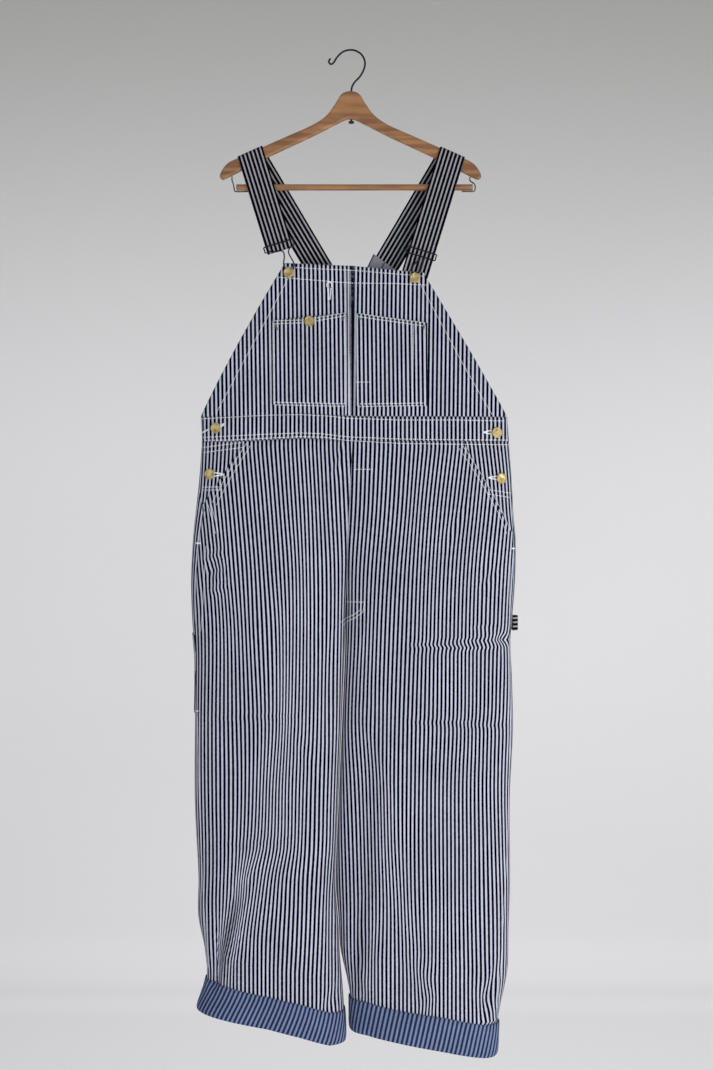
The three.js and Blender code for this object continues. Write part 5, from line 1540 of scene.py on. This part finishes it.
@dataclass
class Straps:
    """Straps, their joint's patch, the wire slides and the wire button loops."""

    garment: Garment

    @staticmethod
    def profile(width: float) -> list[tuple[float, float]]:
        """Places round a folded ribbon's section: across it, and out of it."""
        half, thick = width / 2, STRAP_THICK / 2
        across = np.linspace(-half + 1.2, half - 1.2, 9)
        top = [(float(a), thick) for a in across]
        bottom = [(float(a), -thick) for a in across[::-1]]
        return [*top, (half - 0.3, thick * 0.7), (half, 0.0), (half - 0.3, -thick * 0.7), *bottom,
                (-half + 0.3, -thick * 0.7), (-half, 0.0), (-half + 0.3, thick * 0.7), top[0]]

    def build(self) -> None:
        """Makes both straps and their fittings."""
        for run in STRAP_RUNS:
            frame_ = StrapFrame(run)
            self.build_strap(run, frame_)
            self.build_slide(run, frame_)
        self.build_loops()
        self.build_patch()

    def stations(self, run: StrapRun, frame_: StrapFrame) -> list[tuple[float, float]]:
        """Share and lift of each row, with the fold or the tail at the slide first."""
        places = []
        radius = self.fold_radius()
        if run.folded:
            for i in range(7):
                places.append((mix(run.tail, 0.0, i / 6) / frame_.length, -2 * radius))
            for i in range(1, 12):
                angle = math.pi * i / 12
                places.append((-radius * math.sin(angle) / frame_.length, -radius - radius * math.cos(angle)))
        else:
            for i in range(8):
                t = 1 - i / 8
                places.append((-run.tail * t / frame_.length, -1.5 * t))
        run_w = frame_.back_w - frame_.front_w
        bend = frame_.turn / 2 + 6
        low = (-bend - frame_.front_w) / run_w
        high = (bend - frame_.front_w) / run_w
        for t in np.linspace(0.0, low, 30, endpoint=False):
            places.append((float(t), 0.0))
        for t in np.linspace(low, high, 34, endpoint=False):
            places.append((float(t), 0.0))
        for t in np.linspace(high, 1.0, 40):
            places.append((float(t), 0.0))
        return places

    @staticmethod
    def fold_radius() -> float:
        """Radius of the strap's fold round the slide's lower wire."""
        return FITTING_WIRE + 2 * LAY_GAP + STRAP_THICK / 2

    def build_strap(self, run: StrapRun, frame_: StrapFrame) -> None:
        """One strap, its stripes lengthwise."""
        stations = self.stations(run, frame_)
        profile = self.profile(STRAP_WIDTH)
        middle = np.array([frame_.point(share, 0.0, lift) for share, lift in stations])
        left = np.array([frame_.point(share, -STRAP_WIDTH / 2, lift) for share, lift in stations])
        right = np.array([frame_.point(share, STRAP_WIDTH / 2, lift) for share, lift in stations])
        runs = np.gradient(middle, axis=0)
        width = right - left
        normals = np.cross(runs, width)
        normals /= np.linalg.norm(normals, axis=1)[:, None]
        arc = np.concatenate([[0.0], np.cumsum(np.linalg.norm(np.diff(middle, axis=0), axis=1))])
        rings, uv = [], []
        for i in range(len(stations)):
            ring, row = [], []
            for across, out in profile:
                base = middle[i] + width[i] * (across / STRAP_WIDTH)
                ring.append(base + normals[i] * out)
                row.append((across / 6.75 + 0.1, arc[i] / PERIOD))
            rings.append(ring)
            uv.append(row)
        name = f"strap_cloth_{run.leg.value}"
        item = Shape.grid(name, np.array(rings), np.array(uv), wrap=True, caps=True)
        self.garment.finishes.dress(item, "strap")
        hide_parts(f"strap_{run.leg.value}")
        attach(item, "root")
        LOG.info("%s: length %.3f m", name, arc[-1] * MM)

    def build_slide(self, run: StrapRun, frame_: StrapFrame) -> None:
        """A wire slide round the strap."""
        reach = STRAP_WIDTH / 2 + FITTING_WIRE + 1
        layer = STRAP_THICK / 2 + LAY_GAP + FITTING_WIRE
        low = -self.fold_radius() if run.folded else layer
        corners = (
            (0, -1, low), (0, 1, low), (run.slide / 2, 1.02, (low + layer) / 2), (run.slide, 1, layer),
            (run.slide, -1, layer), (run.slide / 2, -1.02, (low + layer) / 2),
        )
        points = []
        for i, (up, across, lift) in enumerate(corners):
            next_up, next_across, next_lift = corners[(i + 1) % len(corners)]
            parts = 4 if across * next_across < 0 else 1
            for k in range(parts):
                t = k / parts
                points.append(frame_.point(
                    mix(up, next_up, t) / frame_.length, reach * mix(across, next_across, t), mix(lift, next_lift, t)
                ))
        path = Shape.curve(np.array(points), 90, closed=True)
        item = Shape.tube(f"strap_slide_{run.leg.value}", path, FITTING_WIRE, closed=True)
        self.garment.finishes.dress(item, "black_wire")
        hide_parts(f"slide_{run.leg.value}")
        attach(item, "root")

    def build_loops(self) -> None:
        """Wire loops from the slides down round the bib's buttons."""
        routes = {
            "right": (
                (-134, -13.5, -333.5), (-124, -13.5, -334.1), (-111, -14, -332.5), (-107.6, -14.8, -341),
                (-108.6, -15.8, -354), (-105.2, -15.8, -366), (-100, -15.8, -374.3), (-94.8, -15.8, -366),
                (-91.4, -15.8, -354), (-100.5, -14.8, -336), (-98, -14, -326.9), (-92, -13.5, -324.5),
            ),
            "left": (
                (115, -13.7, -343.9), (110, -14.6, -350), (103.6, -15.6, -357), (101, -15.8, -368),
                (101.8, -15.8, -376), (106.6, -15.8, -382.2), (111.4, -15.8, -376), (113.2, -15.8, -368),
                (118, -15.4, -357), (120, -14.4, -350), (119.8, -13.7, -345.2),
            ),
        }
        for name, route in routes.items():
            path = Shape.curve(np.array(route, float), 70)
            item = Shape.tube(f"button_wire_{name}", path, FITTING_WIRE)
            self.garment.finishes.dress(item, "black_wire")
            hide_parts(f"button_loop_{name}")
            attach(item, "root")

    def build_patch(self) -> None:
        """The reinforcing patch at the straps' joint, wrong side out, with navy folded edges."""
        front = 12.6
        top = np.array([
            (-34.0, -348.0), (-22.0, -355.5), (26.4, -360.5), (39.6, -332.5), (59.4, -347.6), (76.0, -359.0),
        ])
        xs = np.linspace(-34.0, 76.0, 45)
        tops = np.interp(xs, top[:, 0], top[:, 1])
        rows = []
        for t in np.linspace(0.0, 1.0, 12):
            z = mix(tops, -393.0, t)
            y = front + 0.5 * np.sin(xs / 11.0 + z / 17.0)
            rows.append(np.stack([xs, y, z], axis=-1))
        points = np.array(rows)
        normals = np.zeros_like(points)
        normals[..., 1] = -1.0
        stripes = points[..., 0] / 1.1
        grid = ClothGrid(points, normals, stripes)
        item = Shape.grid("joint_patch", grid.points, grid.uv(), grid.normals)
        solid = item.modifiers.new("wall", "SOLIDIFY")
        solid.thickness = PATCH_WALL * MM
        solid.offset = -1.0
        self.garment.finishes.dress(item, "patch")
        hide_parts("strap_patch")
        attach(item, "root")
        self.garment.remember(points, Face.FRONT)
        for i, ends in enumerate((((39.6, -332.5), (26.4, -360.5)), ((57.5, -346.4), (51.0, -358.0)))):
            line = np.array([(x, front - 0.4, z) for x, z in ends])
            edge = Shape.tube(f"patch_edge_{i + 1}", Shape.curve(line, 12), 0.9)
            self.garment.finishes.dress(edge, "navy")
            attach(edge, "root")


@dataclass(frozen=True)
class ButtonPlace:
    """A tack button: its node, its place in the front view, its shank, and its layer."""

    node: str
    x: float
    z: float
    rise: float


BUTTON_PLACES = (
    ButtonPlace("button_bib_right", -100, -368.5, 2.9),
    ButtonPlace("button_bib_left", 106.6, -377, 2.9),
    ButtonPlace("button_chest", -66.3, -448.4, 1.4),
    ButtonPlace("button_waist_right", -219, -622.8, 1.4),
    ButtonPlace("button_side_right", -228.5, -698.4, 1.4),
    ButtonPlace("button_waist_left", 240, -630.2, 1.4),
    ButtonPlace("button_side_left", 246.8, -705.4, 1.4),
)


@dataclass
class Buttons:
    """Brass tack buttons with a rolled rim round a stepped, dished face."""

    garment: Garment

    def profile(self, rise: float) -> tuple[tuple[float, float], ...]:
        """Radius and height round a button's section."""
        r = BUTTON_RADIUS
        return (
            (0.0, 0.0), (2.4, 0.0), (2.4, rise), (r - 1.2, rise), (r - 0.4, rise + 0.3), (r, rise + 1.1),
            (r - 0.3, rise + 1.7), (r - 0.9, rise + 2.1), (r - 1.7, rise + 2.15), (r - 2.1, rise + 1.9),
            (r - 2.5, rise + 1.55), (r - 3.6, rise + 1.6), (r - 4.0, rise + 1.75), (r - 4.5, rise + 1.7),
            (r - 5.2, rise + 1.35), (1.6, rise + 1.3), (0.0, rise + 1.35),
        )

    def build(self) -> None:
        """Makes the seven buttons where their solids are."""
        for button in BUTTON_PLACES:
            low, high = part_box(button.node)
            leg = Leg.RIGHT if button.x < CENTRE.at("x", button.z) else Leg.LEFT
            if button.z > WAIST_TOP:
                _, normal = bib_place(Face.FRONT, button.x, button.z)
            else:
                line = leg_line(leg, Face.FRONT, button.z)
                arcs = np.array([line.arc_at(button.x)])
                _, normals = leg_row(leg, Face.FRONT, button.z, line, arcs)
                normal = normals[0]
            axis = Vector(normal)
            middle = (low + high) / 2 / MM
            base = middle - axis * (button.rise + 2.1) / 2
            item = Shape.turned(f"tack_{button.node}", self.profile(button.rise), base, axis)
            self.garment.finishes.dress(item, "brass")
            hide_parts(button.node)
            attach(item, "root")
        LOG.info("buttons: %d", len(BUTTON_PLACES))


@dataclass
class Hanger:
    """The shaped wooden hanger, its bar, hook and end wires."""

    garment: Garment

    def outline(self) -> np.ndarray:
        """The wood's outline from the crown round, smooth at the crown and the tips."""
        crown = [(0, -66.5), (10, -68.5), (17, -74), (27, -90), (40, -107)]
        tip = [(205, -188), (213, -199), (215.5, -208), (211, -212.5), (201, -209)]
        under = [(138, -177), (60, -140.5), (24, -122), (0, -113)]
        half = [*crown, ARM_INNER, (110, -143.4), (150, -161.2), ARM_OUTER, *tip, *under]
        mirrored = [(-x, z) for x, z in half[1:-1]][::-1]
        return Shape.curve(np.array(half + mirrored, float), 241, closed=True)[:-1]

    def build(self) -> None:
        """Makes the hanger's pieces."""
        self.build_wood()
        self.build_bar()
        self.build_hook()
        self.build_wires()
        self.garment.finishes.dress(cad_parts["hanger_nut"], "black_wire")

    def build_wood(self) -> None:
        """The shaped body with rounded edges."""
        line = self.outline()
        run = np.roll(line, -1, axis=0) - np.roll(line, 1, axis=0)
        run /= np.linalg.norm(run, axis=1)[:, None]
        inward = np.stack([run[:, 1], -run[:, 0]], axis=-1)
        centre = line.mean(axis=0)
        if ((centre - line[60]) * inward[60]).sum() < 0:
            inward = -inward
        flat = ARM_THICK - 2 * ARM_EDGE_ROUND
        rings = []
        for angle in np.linspace(-90.0, 90.0, 13):
            a = math.radians(angle)
            inset = ARM_EDGE_ROUND * (1 - math.cos(a))
            y = math.sin(a) * ARM_EDGE_ROUND + math.copysign(flat / 2, a if a else 1.0) * (abs(a) > 1e-6)
            ring = line + inward * inset
            ring = np.vstack([ring, ring[:1]])
            rings.append(np.stack([ring[:, 0] + HANGER_X, np.full(len(ring), y), ring[:, 1]], axis=-1))
        item = Shape.grid("hanger_wood", np.array(rings), wrap=True, caps=True)
        self.finish(item, "wood", "hanger_body")

    def finish(self, item: bpy.types.Object, name: str, node: str) -> None:
        """Dresses a hanger piece and puts it in its node's place."""
        self.garment.finishes.dress(item, name)
        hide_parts(node)
        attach(item, "root")

    def build_bar(self) -> None:
        """The round bar with softened ends."""
        start, end = -187.5, 202.5
        rings = []
        stations = [(start, 0.6), (start + 0.3, 0.85), (start + 1.0, 1.0)]
        stations += [(float(x), 1.0) for x in np.linspace(start + 4, end - 4, 24)]
        stations += [(end - 1.0, 1.0), (end - 0.3, 0.85), (end, 0.6)]
        for x, share in stations:
            ring = []
            for j in range(25):
                angle = 2 * math.pi * j / 24
                radius = BAR_RADIUS * share
                ring.append((x, radius * math.cos(angle), BAR_Z + radius * math.sin(angle)))
            rings.append(ring)
        item = Shape.grid("hanger_rod", np.array(rings), wrap=True, caps=True)
        self.finish(item, "wood", "hanger_bar")

    def build_hook(self) -> None:
        """The wire hook."""
        route = (
            (2.1, -119), (2.1, -90), (2.1, -72), (2.1, -66), (4, -57.5), (8.6, -50.5), (16.5, -42), (23, -30),
            (24.6, -18), (19.5, -6.5), (9.5, 0.3), (-0.5, HOOK_WIRE), (-11.6, -1.4), (-21, -10), (-27, -19.4),
            (-31.5, -21.8), (-35, -18), (-32.5, -12.5),
        )
        points = np.array([(x, 0.0, z) for x, z in route], float)
        item = Shape.tube("hook_wire", Shape.curve(points, 120), HOOK_WIRE, sides=12)
        self.finish(item, "black_wire", "hanger_hook")

    def build_wires(self) -> None:
        """The wires that hold the bar's ends."""
        clear = BAR_Z - (BAR_RADIUS + SEAM_GAP + FITTING_WIRE)
        routes = {
            "right": ((-194.5, -207.2), (-194.5, -213), (-192.6, -219), (-191, -226), (-188, clear), (-166, clear)),
            "left": ((197.8, -208), (198, -214), (205.4, -220), (206, -229), (202, clear), (184, clear)),
        }
        for name, route in routes.items():
            points = np.array([(x, 0.0, z) for x, z in route], float)
            item = Shape.tube(f"bar_wire_{name}", Shape.curve(points, 50), FITTING_WIRE)
            self.finish(item, "steel_wire", f"hanger_wire_{name}")


@dataclass(frozen=True)
class StitchRow:
    """Rows of stitches along a line of the picture, or of the back view in millimetres.

    Args:
        places: points of the line.
        rows: how many rows lie side by side.
        gap: distance between the rows, in the places' own unit.
        back: True where the places are X and Z of the back view.
    """

    places: tuple[tuple[float, float], ...]
    rows: int = 1
    gap: float = 4.2
    thread: Thread = Thread.WHITE
    pitch: float = 3.5
    length: float = 2.7
    width: float = 1.25
    across: bool = False
    back: bool = False


SEWING: dict[str, tuple[StitchRow, ...]] = {
    "bib": (
        StitchRow(((285, 267.2), (318, 269.2), (352, 270.6), (424, 276.6))),
        StitchRow(((279, 277.6), (300, 279.3), (340, 282.6), (352, 283.4), (395, 283.8), (429, 285.6))),
        StitchRow(((289, 277), (270, 313), (243, 363), (216, 414))),
        StitchRow(((420, 284), (436, 314), (462, 363), (492, 415))),
        StitchRow(((347.0, 269.8), (346.6, 416)), width=0.8),
        StitchRow(((350.6, 270.2), (351.0, 417)), width=0.8),
    ),
    "chest_pockets": (
        StitchRow(((274, 321.2), (305, 320.2), (345, 313.2)), rows=2, gap=2.9),
        StitchRow(((358, 313.8), (380, 317.2), (425.5, 323.4)), rows=2, gap=2.9),
        StitchRow(((274.2, 405.0), (344.5, 406.6)), rows=2, gap=-2.6),
        StitchRow(((357.2, 406.8), (425.4, 405.8)), rows=2, gap=-2.6),
        StitchRow(((274.2, 323.5), (274.2, 404.5))),
        StitchRow(((344.8, 315), (344.6, 406))),
        StitchRow(((357.6, 315), (357.4, 406))),
        StitchRow(((425.2, 325), (425, 405.5))),
        StitchRow(((413.5, 324), (412.4, 402))),
        StitchRow(((356, 382.4), (371, 382.2))),
    ),
    "waistband": (
        StitchRow(((202.5, 419), (232, 417.4), (265, 415.5), (300, 414.8), (330, 416.4), (346, 418.4), (400, 420.2),
                   (455, 420.2), (505.6, 421.2))),
        StitchRow(((203, 437.6), (232, 436.2), (262, 434.6), (300, 433.2), (320, 433.8), (346, 437), (400, 439.2),
                   (455, 440.0), (508, 440.3))),
        StitchRow(((204, 440.6), (232, 440.2), (265, 438.4), (300, 436.9), (325, 437.5), (346, 440.6), (400, 443.6),
                   (455, 444.4), (508.5, 445.0))),
    ),
    "hip_pockets": (
        StitchRow(((246.5, 443.5), (236, 460), (226, 477), (217, 494), (212.5, 503)), rows=2, gap=-4.6),
        StitchRow(((202.5, 447.8), (243, 442.6)), rows=2, gap=5.0),
        StitchRow(((203, 487.4), (222, 487.0)), rows=2, gap=3.0),
        StitchRow(((462.6, 446), (476, 466), (490, 489), (504, 515), (510.6, 532)), rows=2, gap=4.4),
        StitchRow(((487.5, 489.6), (511.2, 493.4)), rows=2, gap=4.4),
        StitchRow(((211, 504), (215.5, 520), (218.5, 534)), rows=2, gap=3.0, pitch=2.8),
    ),
    "fly": (
        StitchRow(((353.5, 469.6), (374, 469.4))),
        StitchRow(((346, 601.8), (364, 602.2))),
        StitchRow(((364.4, 603), (363, 612), (355, 618), (347, 621.5), (343.5, 625)), rows=2, gap=3.4, pitch=2.9),
    ),
    "tacks_white": (
        StitchRow(((196, 543.2), (201, 543.4)), pitch=0.9, length=3.4, width=0.9, across=True),
        StitchRow(((511.5, 548.6), (515, 548.6)), pitch=0.9, length=3.0, width=0.9, across=True),
        StitchRow(((196.2, 711), (199, 711)), pitch=0.9, length=3.0, width=0.9, across=True),
    ),
    "tacks_green": (
        StitchRow(((275.5, 324.5), (277.5, 330.5)), 1, 4.2, Thread.GREEN, 1.1, 4.2, 1.1, True),
        StitchRow(((344.4, 316), (342.4, 321.4)), 1, 4.2, Thread.GREEN, 1.1, 4.2, 1.1, True),
        StitchRow(((358, 315.8), (361.4, 320.4)), 1, 4.2, Thread.GREEN, 1.1, 4.2, 1.1, True),
        StitchRow(((424.6, 325), (423.2, 330)), 1, 4.2, Thread.GREEN, 1.1, 4.2, 1.1, True),
        StitchRow(((202, 505), (204.6, 512)), 1, 4.2, Thread.GREEN, 0.9, 3.2, 0.9, True),
    ),
    "buttonholes": (
        StitchRow(((218.2, 426.6), (221.5, 425.4), (224.4, 423.6)), 1, 0.0, Thread.WHITE, 0.8, 2.6, 1.0, True),
        StitchRow(((218.2, 428.6), (221.5, 427.0), (224.6, 424.2)), 1, 0.0, Thread.WHITE, 0.8, 2.6, 1.0, True),
        StitchRow(((202.6, 432.8), (208.6, 429.6)), 1, 0.0, Thread.WHITE, 0.8, 2.4, 1.0, True),
        StitchRow(((214, 472.8), (219, 473.4), (223.6, 474.6)), 1, 0.0, Thread.WHITE, 0.8, 2.6, 1.0, True),
        StitchRow(((214, 476.4), (219, 475.6), (223.6, 474.8)), 1, 0.0, Thread.WHITE, 0.8, 2.6, 1.0, True),
        StitchRow(((491.8, 430.6), (487, 431.4), (483.4, 432.4)), 1, 0.0, Thread.WHITE, 0.8, 2.6, 1.0, True),
        StitchRow(((491.8, 434.4), (487, 433.4), (483.4, 432.6)), 1, 0.0, Thread.WHITE, 0.8, 2.6, 1.0, True),
        StitchRow(((497.4, 476.4), (492, 477), (488, 477.8)), 1, 0.0, Thread.WHITE, 0.8, 2.6, 1.0, True),
        StitchRow(((497.4, 480), (492, 478.8), (488, 478)), 1, 0.0, Thread.WHITE, 0.8, 2.6, 1.0, True),
    ),
    "watch_buttonhole": (
        StitchRow(((327.6, 287.6), (326.6, 285.4), (327.4, 283.2), (329.2, 282.2), (331.2, 283.2), (332, 285.4),
                   (331.2, 287.8)), 1, 0.0, Thread.WHITE, 0.8, 2.4, 0.9, True),
        StitchRow(((327.8, 288), (328.4, 293), (328.2, 300.4)), 1, 0.0, Thread.WHITE, 0.8, 2.2, 0.9, True),
        StitchRow(((331, 288), (330.6, 293), (329.8, 300.4)), 1, 0.0, Thread.WHITE, 0.8, 2.2, 0.9, True),
    ),
    "outseams": (
        StitchRow(((206, 546), (203.4, 600), (200.8, 632))),
        StitchRow(((197.6, 716), (199.4, 800), (203.6, 900), (208.2, 968))),
        StitchRow(((510.2, 552), (509.2, 615))),
        StitchRow(((509, 634), (510, 720), (507, 850), (501, 960), (497, 1010))),
    ),
    "back": (
        StitchRow(((-96, -380), (96, -380)), 2, 6.0, back=True),
        StitchRow(((-238, -640), (-120, -640), (0, -640), (120, -640), (254, -640)), 2, 5.0, back=True),
        StitchRow(((4.5, -388), (4, -500), (4, -636)), 2, 6.0, back=True),
        StitchRow(((-86, -380), (-92, -440), (-118, -500), (-172, -560), (-232, -600)), 1, 6.0, back=True),
        StitchRow(((92, -380), (98, -440), (124, -500), (180, -560), (244, -600)), 1, 6.0, back=True),
        StitchRow(((12, -650), (7, -760), (4, -900)), 2, 6.0, back=True),
        StitchRow(((-236, -966), (-178, -967)), 2, 6.0, back=True),
        StitchRow(((-182, -972), (-182, -1084), (-238, -1085)), 1, 6.0, back=True),
    ),
}


@dataclass
class Sewing:
    """All stitches, laid on the cloth behind their places in the picture."""

    garment: Garment

    def build(self) -> None:
        """Makes one piece for each family of seams."""
        for name, rows in SEWING.items():
            self.build_family(name, rows)

    def build_family(self, name: str, rows: tuple[StitchRow, ...]) -> None:
        """Joins a family's stitches into one object."""
        whole = bmesh.new()
        for row in rows:
            for index in range(row.rows):
                part = self.stitches(row, index)
                mesh = bpy.data.meshes.new("part")
                part.to_mesh(mesh)
                part.free()
                whole.from_mesh(mesh)
                bpy.data.meshes.remove(mesh)
        for face in whole.faces:
            face.smooth = True
        mesh = bpy.data.meshes.new(f"stitches_{name}")
        whole.to_mesh(mesh)
        whole.free()
        item = bpy.data.objects.new(f"stitches_{name}", mesh)
        bpy.context.scene.collection.objects.link(item)
        self.garment.finishes.dress(item, rows[0].thread.value)
        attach(item, "root")
        LOG.info("stitches_%s: %d faces", name, len(mesh.polygons))

    def stitches(self, row: StitchRow, index: int) -> bmesh.types.BMesh:
        """One row of stitches as small spindles.

        Args:
            row: the row's line and sizes.
            index: which of the rows side by side.
        Returns:
            A mesh in metres.
        """
        places = np.array(row.places, float)
        run = np.gradient(places, axis=0)
        run /= np.linalg.norm(run, axis=1)[:, None]
        places = places + np.stack([-run[:, 1], run[:, 0]], axis=-1) * row.gap * index
        if not row.back:
            places = np.array([from_picture(px, py) for px, py in places])
        length = np.concatenate([[0.0], np.cumsum(np.linalg.norm(np.diff(places, axis=0), axis=1))])
        fine = np.arange(0.0, length[-1], 1.0)
        xs, zs = (np.interp(fine, length, places[:, k]) for k in range(2))
        face = Face.BACK if row.back else Face.FRONT
        hits = [hit for hit in (self.garment.hit(face, float(x), float(z)) for x, z in zip(xs, zs)) if hit]
        bm = bmesh.new()
        if len(hits) < 2:
            return bm
        spots = np.array([spot for spot, _ in hits])
        normals = np.array([normal for _, normal in hits])
        arc = np.concatenate([[0.0], np.cumsum(np.linalg.norm(np.diff(spots, axis=0), axis=1))])
        for at in np.arange(row.pitch / 2, arc[-1], row.pitch):
            spot = Vector([float(np.interp(at, arc, spots[:, k])) for k in range(3)])
            after = Vector([float(np.interp(at + 0.6, arc, spots[:, k])) for k in range(3)])
            before = Vector([float(np.interp(at - 0.6, arc, spots[:, k])) for k in range(3)])
            normal = Vector([float(np.interp(at, arc, normals[:, k])) for k in range(3)]).normalized()
            run_ = after - before
            if run_.length < 1e-6:
                continue
            side = normal.cross(run_).normalized()
            run_ = side.cross(normal).normalized()
            if row.across:
                run_, side = side, run_
            basis = Matrix((run_, side, normal)).transposed().to_4x4()
            size = Matrix.Diagonal((row.length / 2 * MM, row.width / 2 * MM, 0.38 * MM, 1.0))
            matrix = Matrix.Translation((spot + normal * 0.12) * MM) @ basis @ size
            bmesh.ops.create_uvsphere(bm, u_segments=6, v_segments=4, radius=1.0, matrix=matrix)
        return bm


@dataclass
class Studio:
    """Camera, soft lights and a pale surround with painted shade towards its top and left."""

    wall: tuple[int, int, int] = (252, 251, 252)
    # Colour of the painted shade that the wall fades to towards its top and its left.
    painted_shade: tuple[int, int, int] = (188, 187, 184)

    def build(self) -> None:
        """Makes the camera, the surround and the lights."""
        self.build_camera()
        self.build_surround()
        self.build_light("key", (1.9, -2.2, -1.5), 1.9, 66.0, (1.0, 0.985, 0.97))
        self.build_light("fill", (-2.4, -2.4, -1.2), 2.6, 20.0, (0.94, 0.97, 1.0))
        self.build_light("behind", (0.6, 2.6, 0.6), 2.0, 14.0, (1.0, 1.0, 1.0))

    def build_camera(self) -> None:
        """The camera at the photograph's place, level and square to the garment."""
        data = bpy.data.cameras.new("camera")
        data.lens = 50.0
        data.sensor_width = 36.0
        data.sensor_height = 36.0
        data.sensor_fit = "AUTO"
        item = bpy.data.objects.new("camera", data)
        item.location = (CAMERA_X * MM, CAMERA_Y * MM, CAMERA_Z * MM)
        item.rotation_euler = (math.pi / 2, 0.0, 0.0)
        bpy.context.scene.collection.objects.link(item)
        bpy.context.scene.camera = item

    def build_surround(self) -> None:
        """A far wall that curves into a floor, with painted shade towards its top and left, and an even pale sky."""
        profile = [(-6.0, -2.6), (2.6, -2.6), (3.4, -2.5), (4.0, -2.2), (4.4, -1.7), (4.5, -1.0), (4.5, 4.0)]
        line = Shape.curve(np.array(profile) / MM, 60)
        xs = np.linspace(-7000.0, 7000.0, 3)
        points = np.array([[(x, y, z) for x in xs] for y, z in line])
        item = Shape.grid("surround", points)
        material = bpy.data.materials.new("pale wall with painted shade")
        material.use_nodes = True
        material.node_tree.nodes.clear()
        tree = Tree(material.node_tree)
        place = tree.add("ShaderNodeTexCoord").outputs["Object"]
        split = tree.add("ShaderNodeSeparateXYZ", {0: place}).outputs
        # Painted shade: the wall darkens towards the top, as if the light fell off there.
        top = tree.ramp(split[2], -0.6, 2.4, 0.0, 1.0)
        # Painted shade: a little darker towards the left and the top, as if the light came from the right.
        low = tree.ramp(tree.math("SUBTRACT", split[0], split[2]), 0.4, 2.6, 0.14, 0.0)
        # The wall's own pale colour mixed with the painted shade.
        pale = tree.blend(tree.math("ADD", top, low), colour(*self.wall), colour(*self.painted_shade))
        shader = tree.add("ShaderNodeBsdfDiffuse", {"Color": pale})
        tree.add("ShaderNodeOutputMaterial", {"Surface": shader.outputs[0]})
        item.data.materials.append(material)
        world = bpy.data.worlds.new("sky")
        world.use_nodes = True
        world.node_tree.nodes.clear()
        tree = Tree(world.node_tree)
        sky = tree.add("ShaderNodeBackground", {"Color": (0.93, 0.94, 0.96, 1.0), "Strength": 0.64})
        tree.add("ShaderNodeOutputWorld", {"Surface": sky.outputs[0]})
        bpy.context.scene.world = world

    def build_light(
        self, name: str, place: tuple[float, float, float], size: float, power: float, tint: tuple[float, float, float]
    ) -> None:
        """One large soft light turned to the garment's middle."""
        data = bpy.data.lights.new(name, "AREA")
        data.shape = "SQUARE"
        data.size = size
        data.energy = power
        data.color = tint
        item = bpy.data.objects.new(name, data)
        item.location = place
        item.rotation_euler = (Vector((0.0, 0.0, -0.85)) - Vector(place)).to_track_quat("-Z", "Y").to_euler()
        bpy.context.scene.collection.objects.link(item)


def main() -> None:
    """Builds the studio, the finishes and every sub-assembly in order."""
    logging.basicConfig(level=logging.INFO, format="%(message)s")
    bpy.context.scene.view_settings.view_transform = "Standard"
    Studio().build()
    finishes = Finishes().build()
    garment = Garment(finishes)
    Trunk(garment).build()
    Legs(garment).build()
    Straps(garment).build()
    Buttons(garment).build()
    Hanger(garment).build()
    garment.settle()
    Sewing(garment).build()


if __name__ == "__main__":
    main()
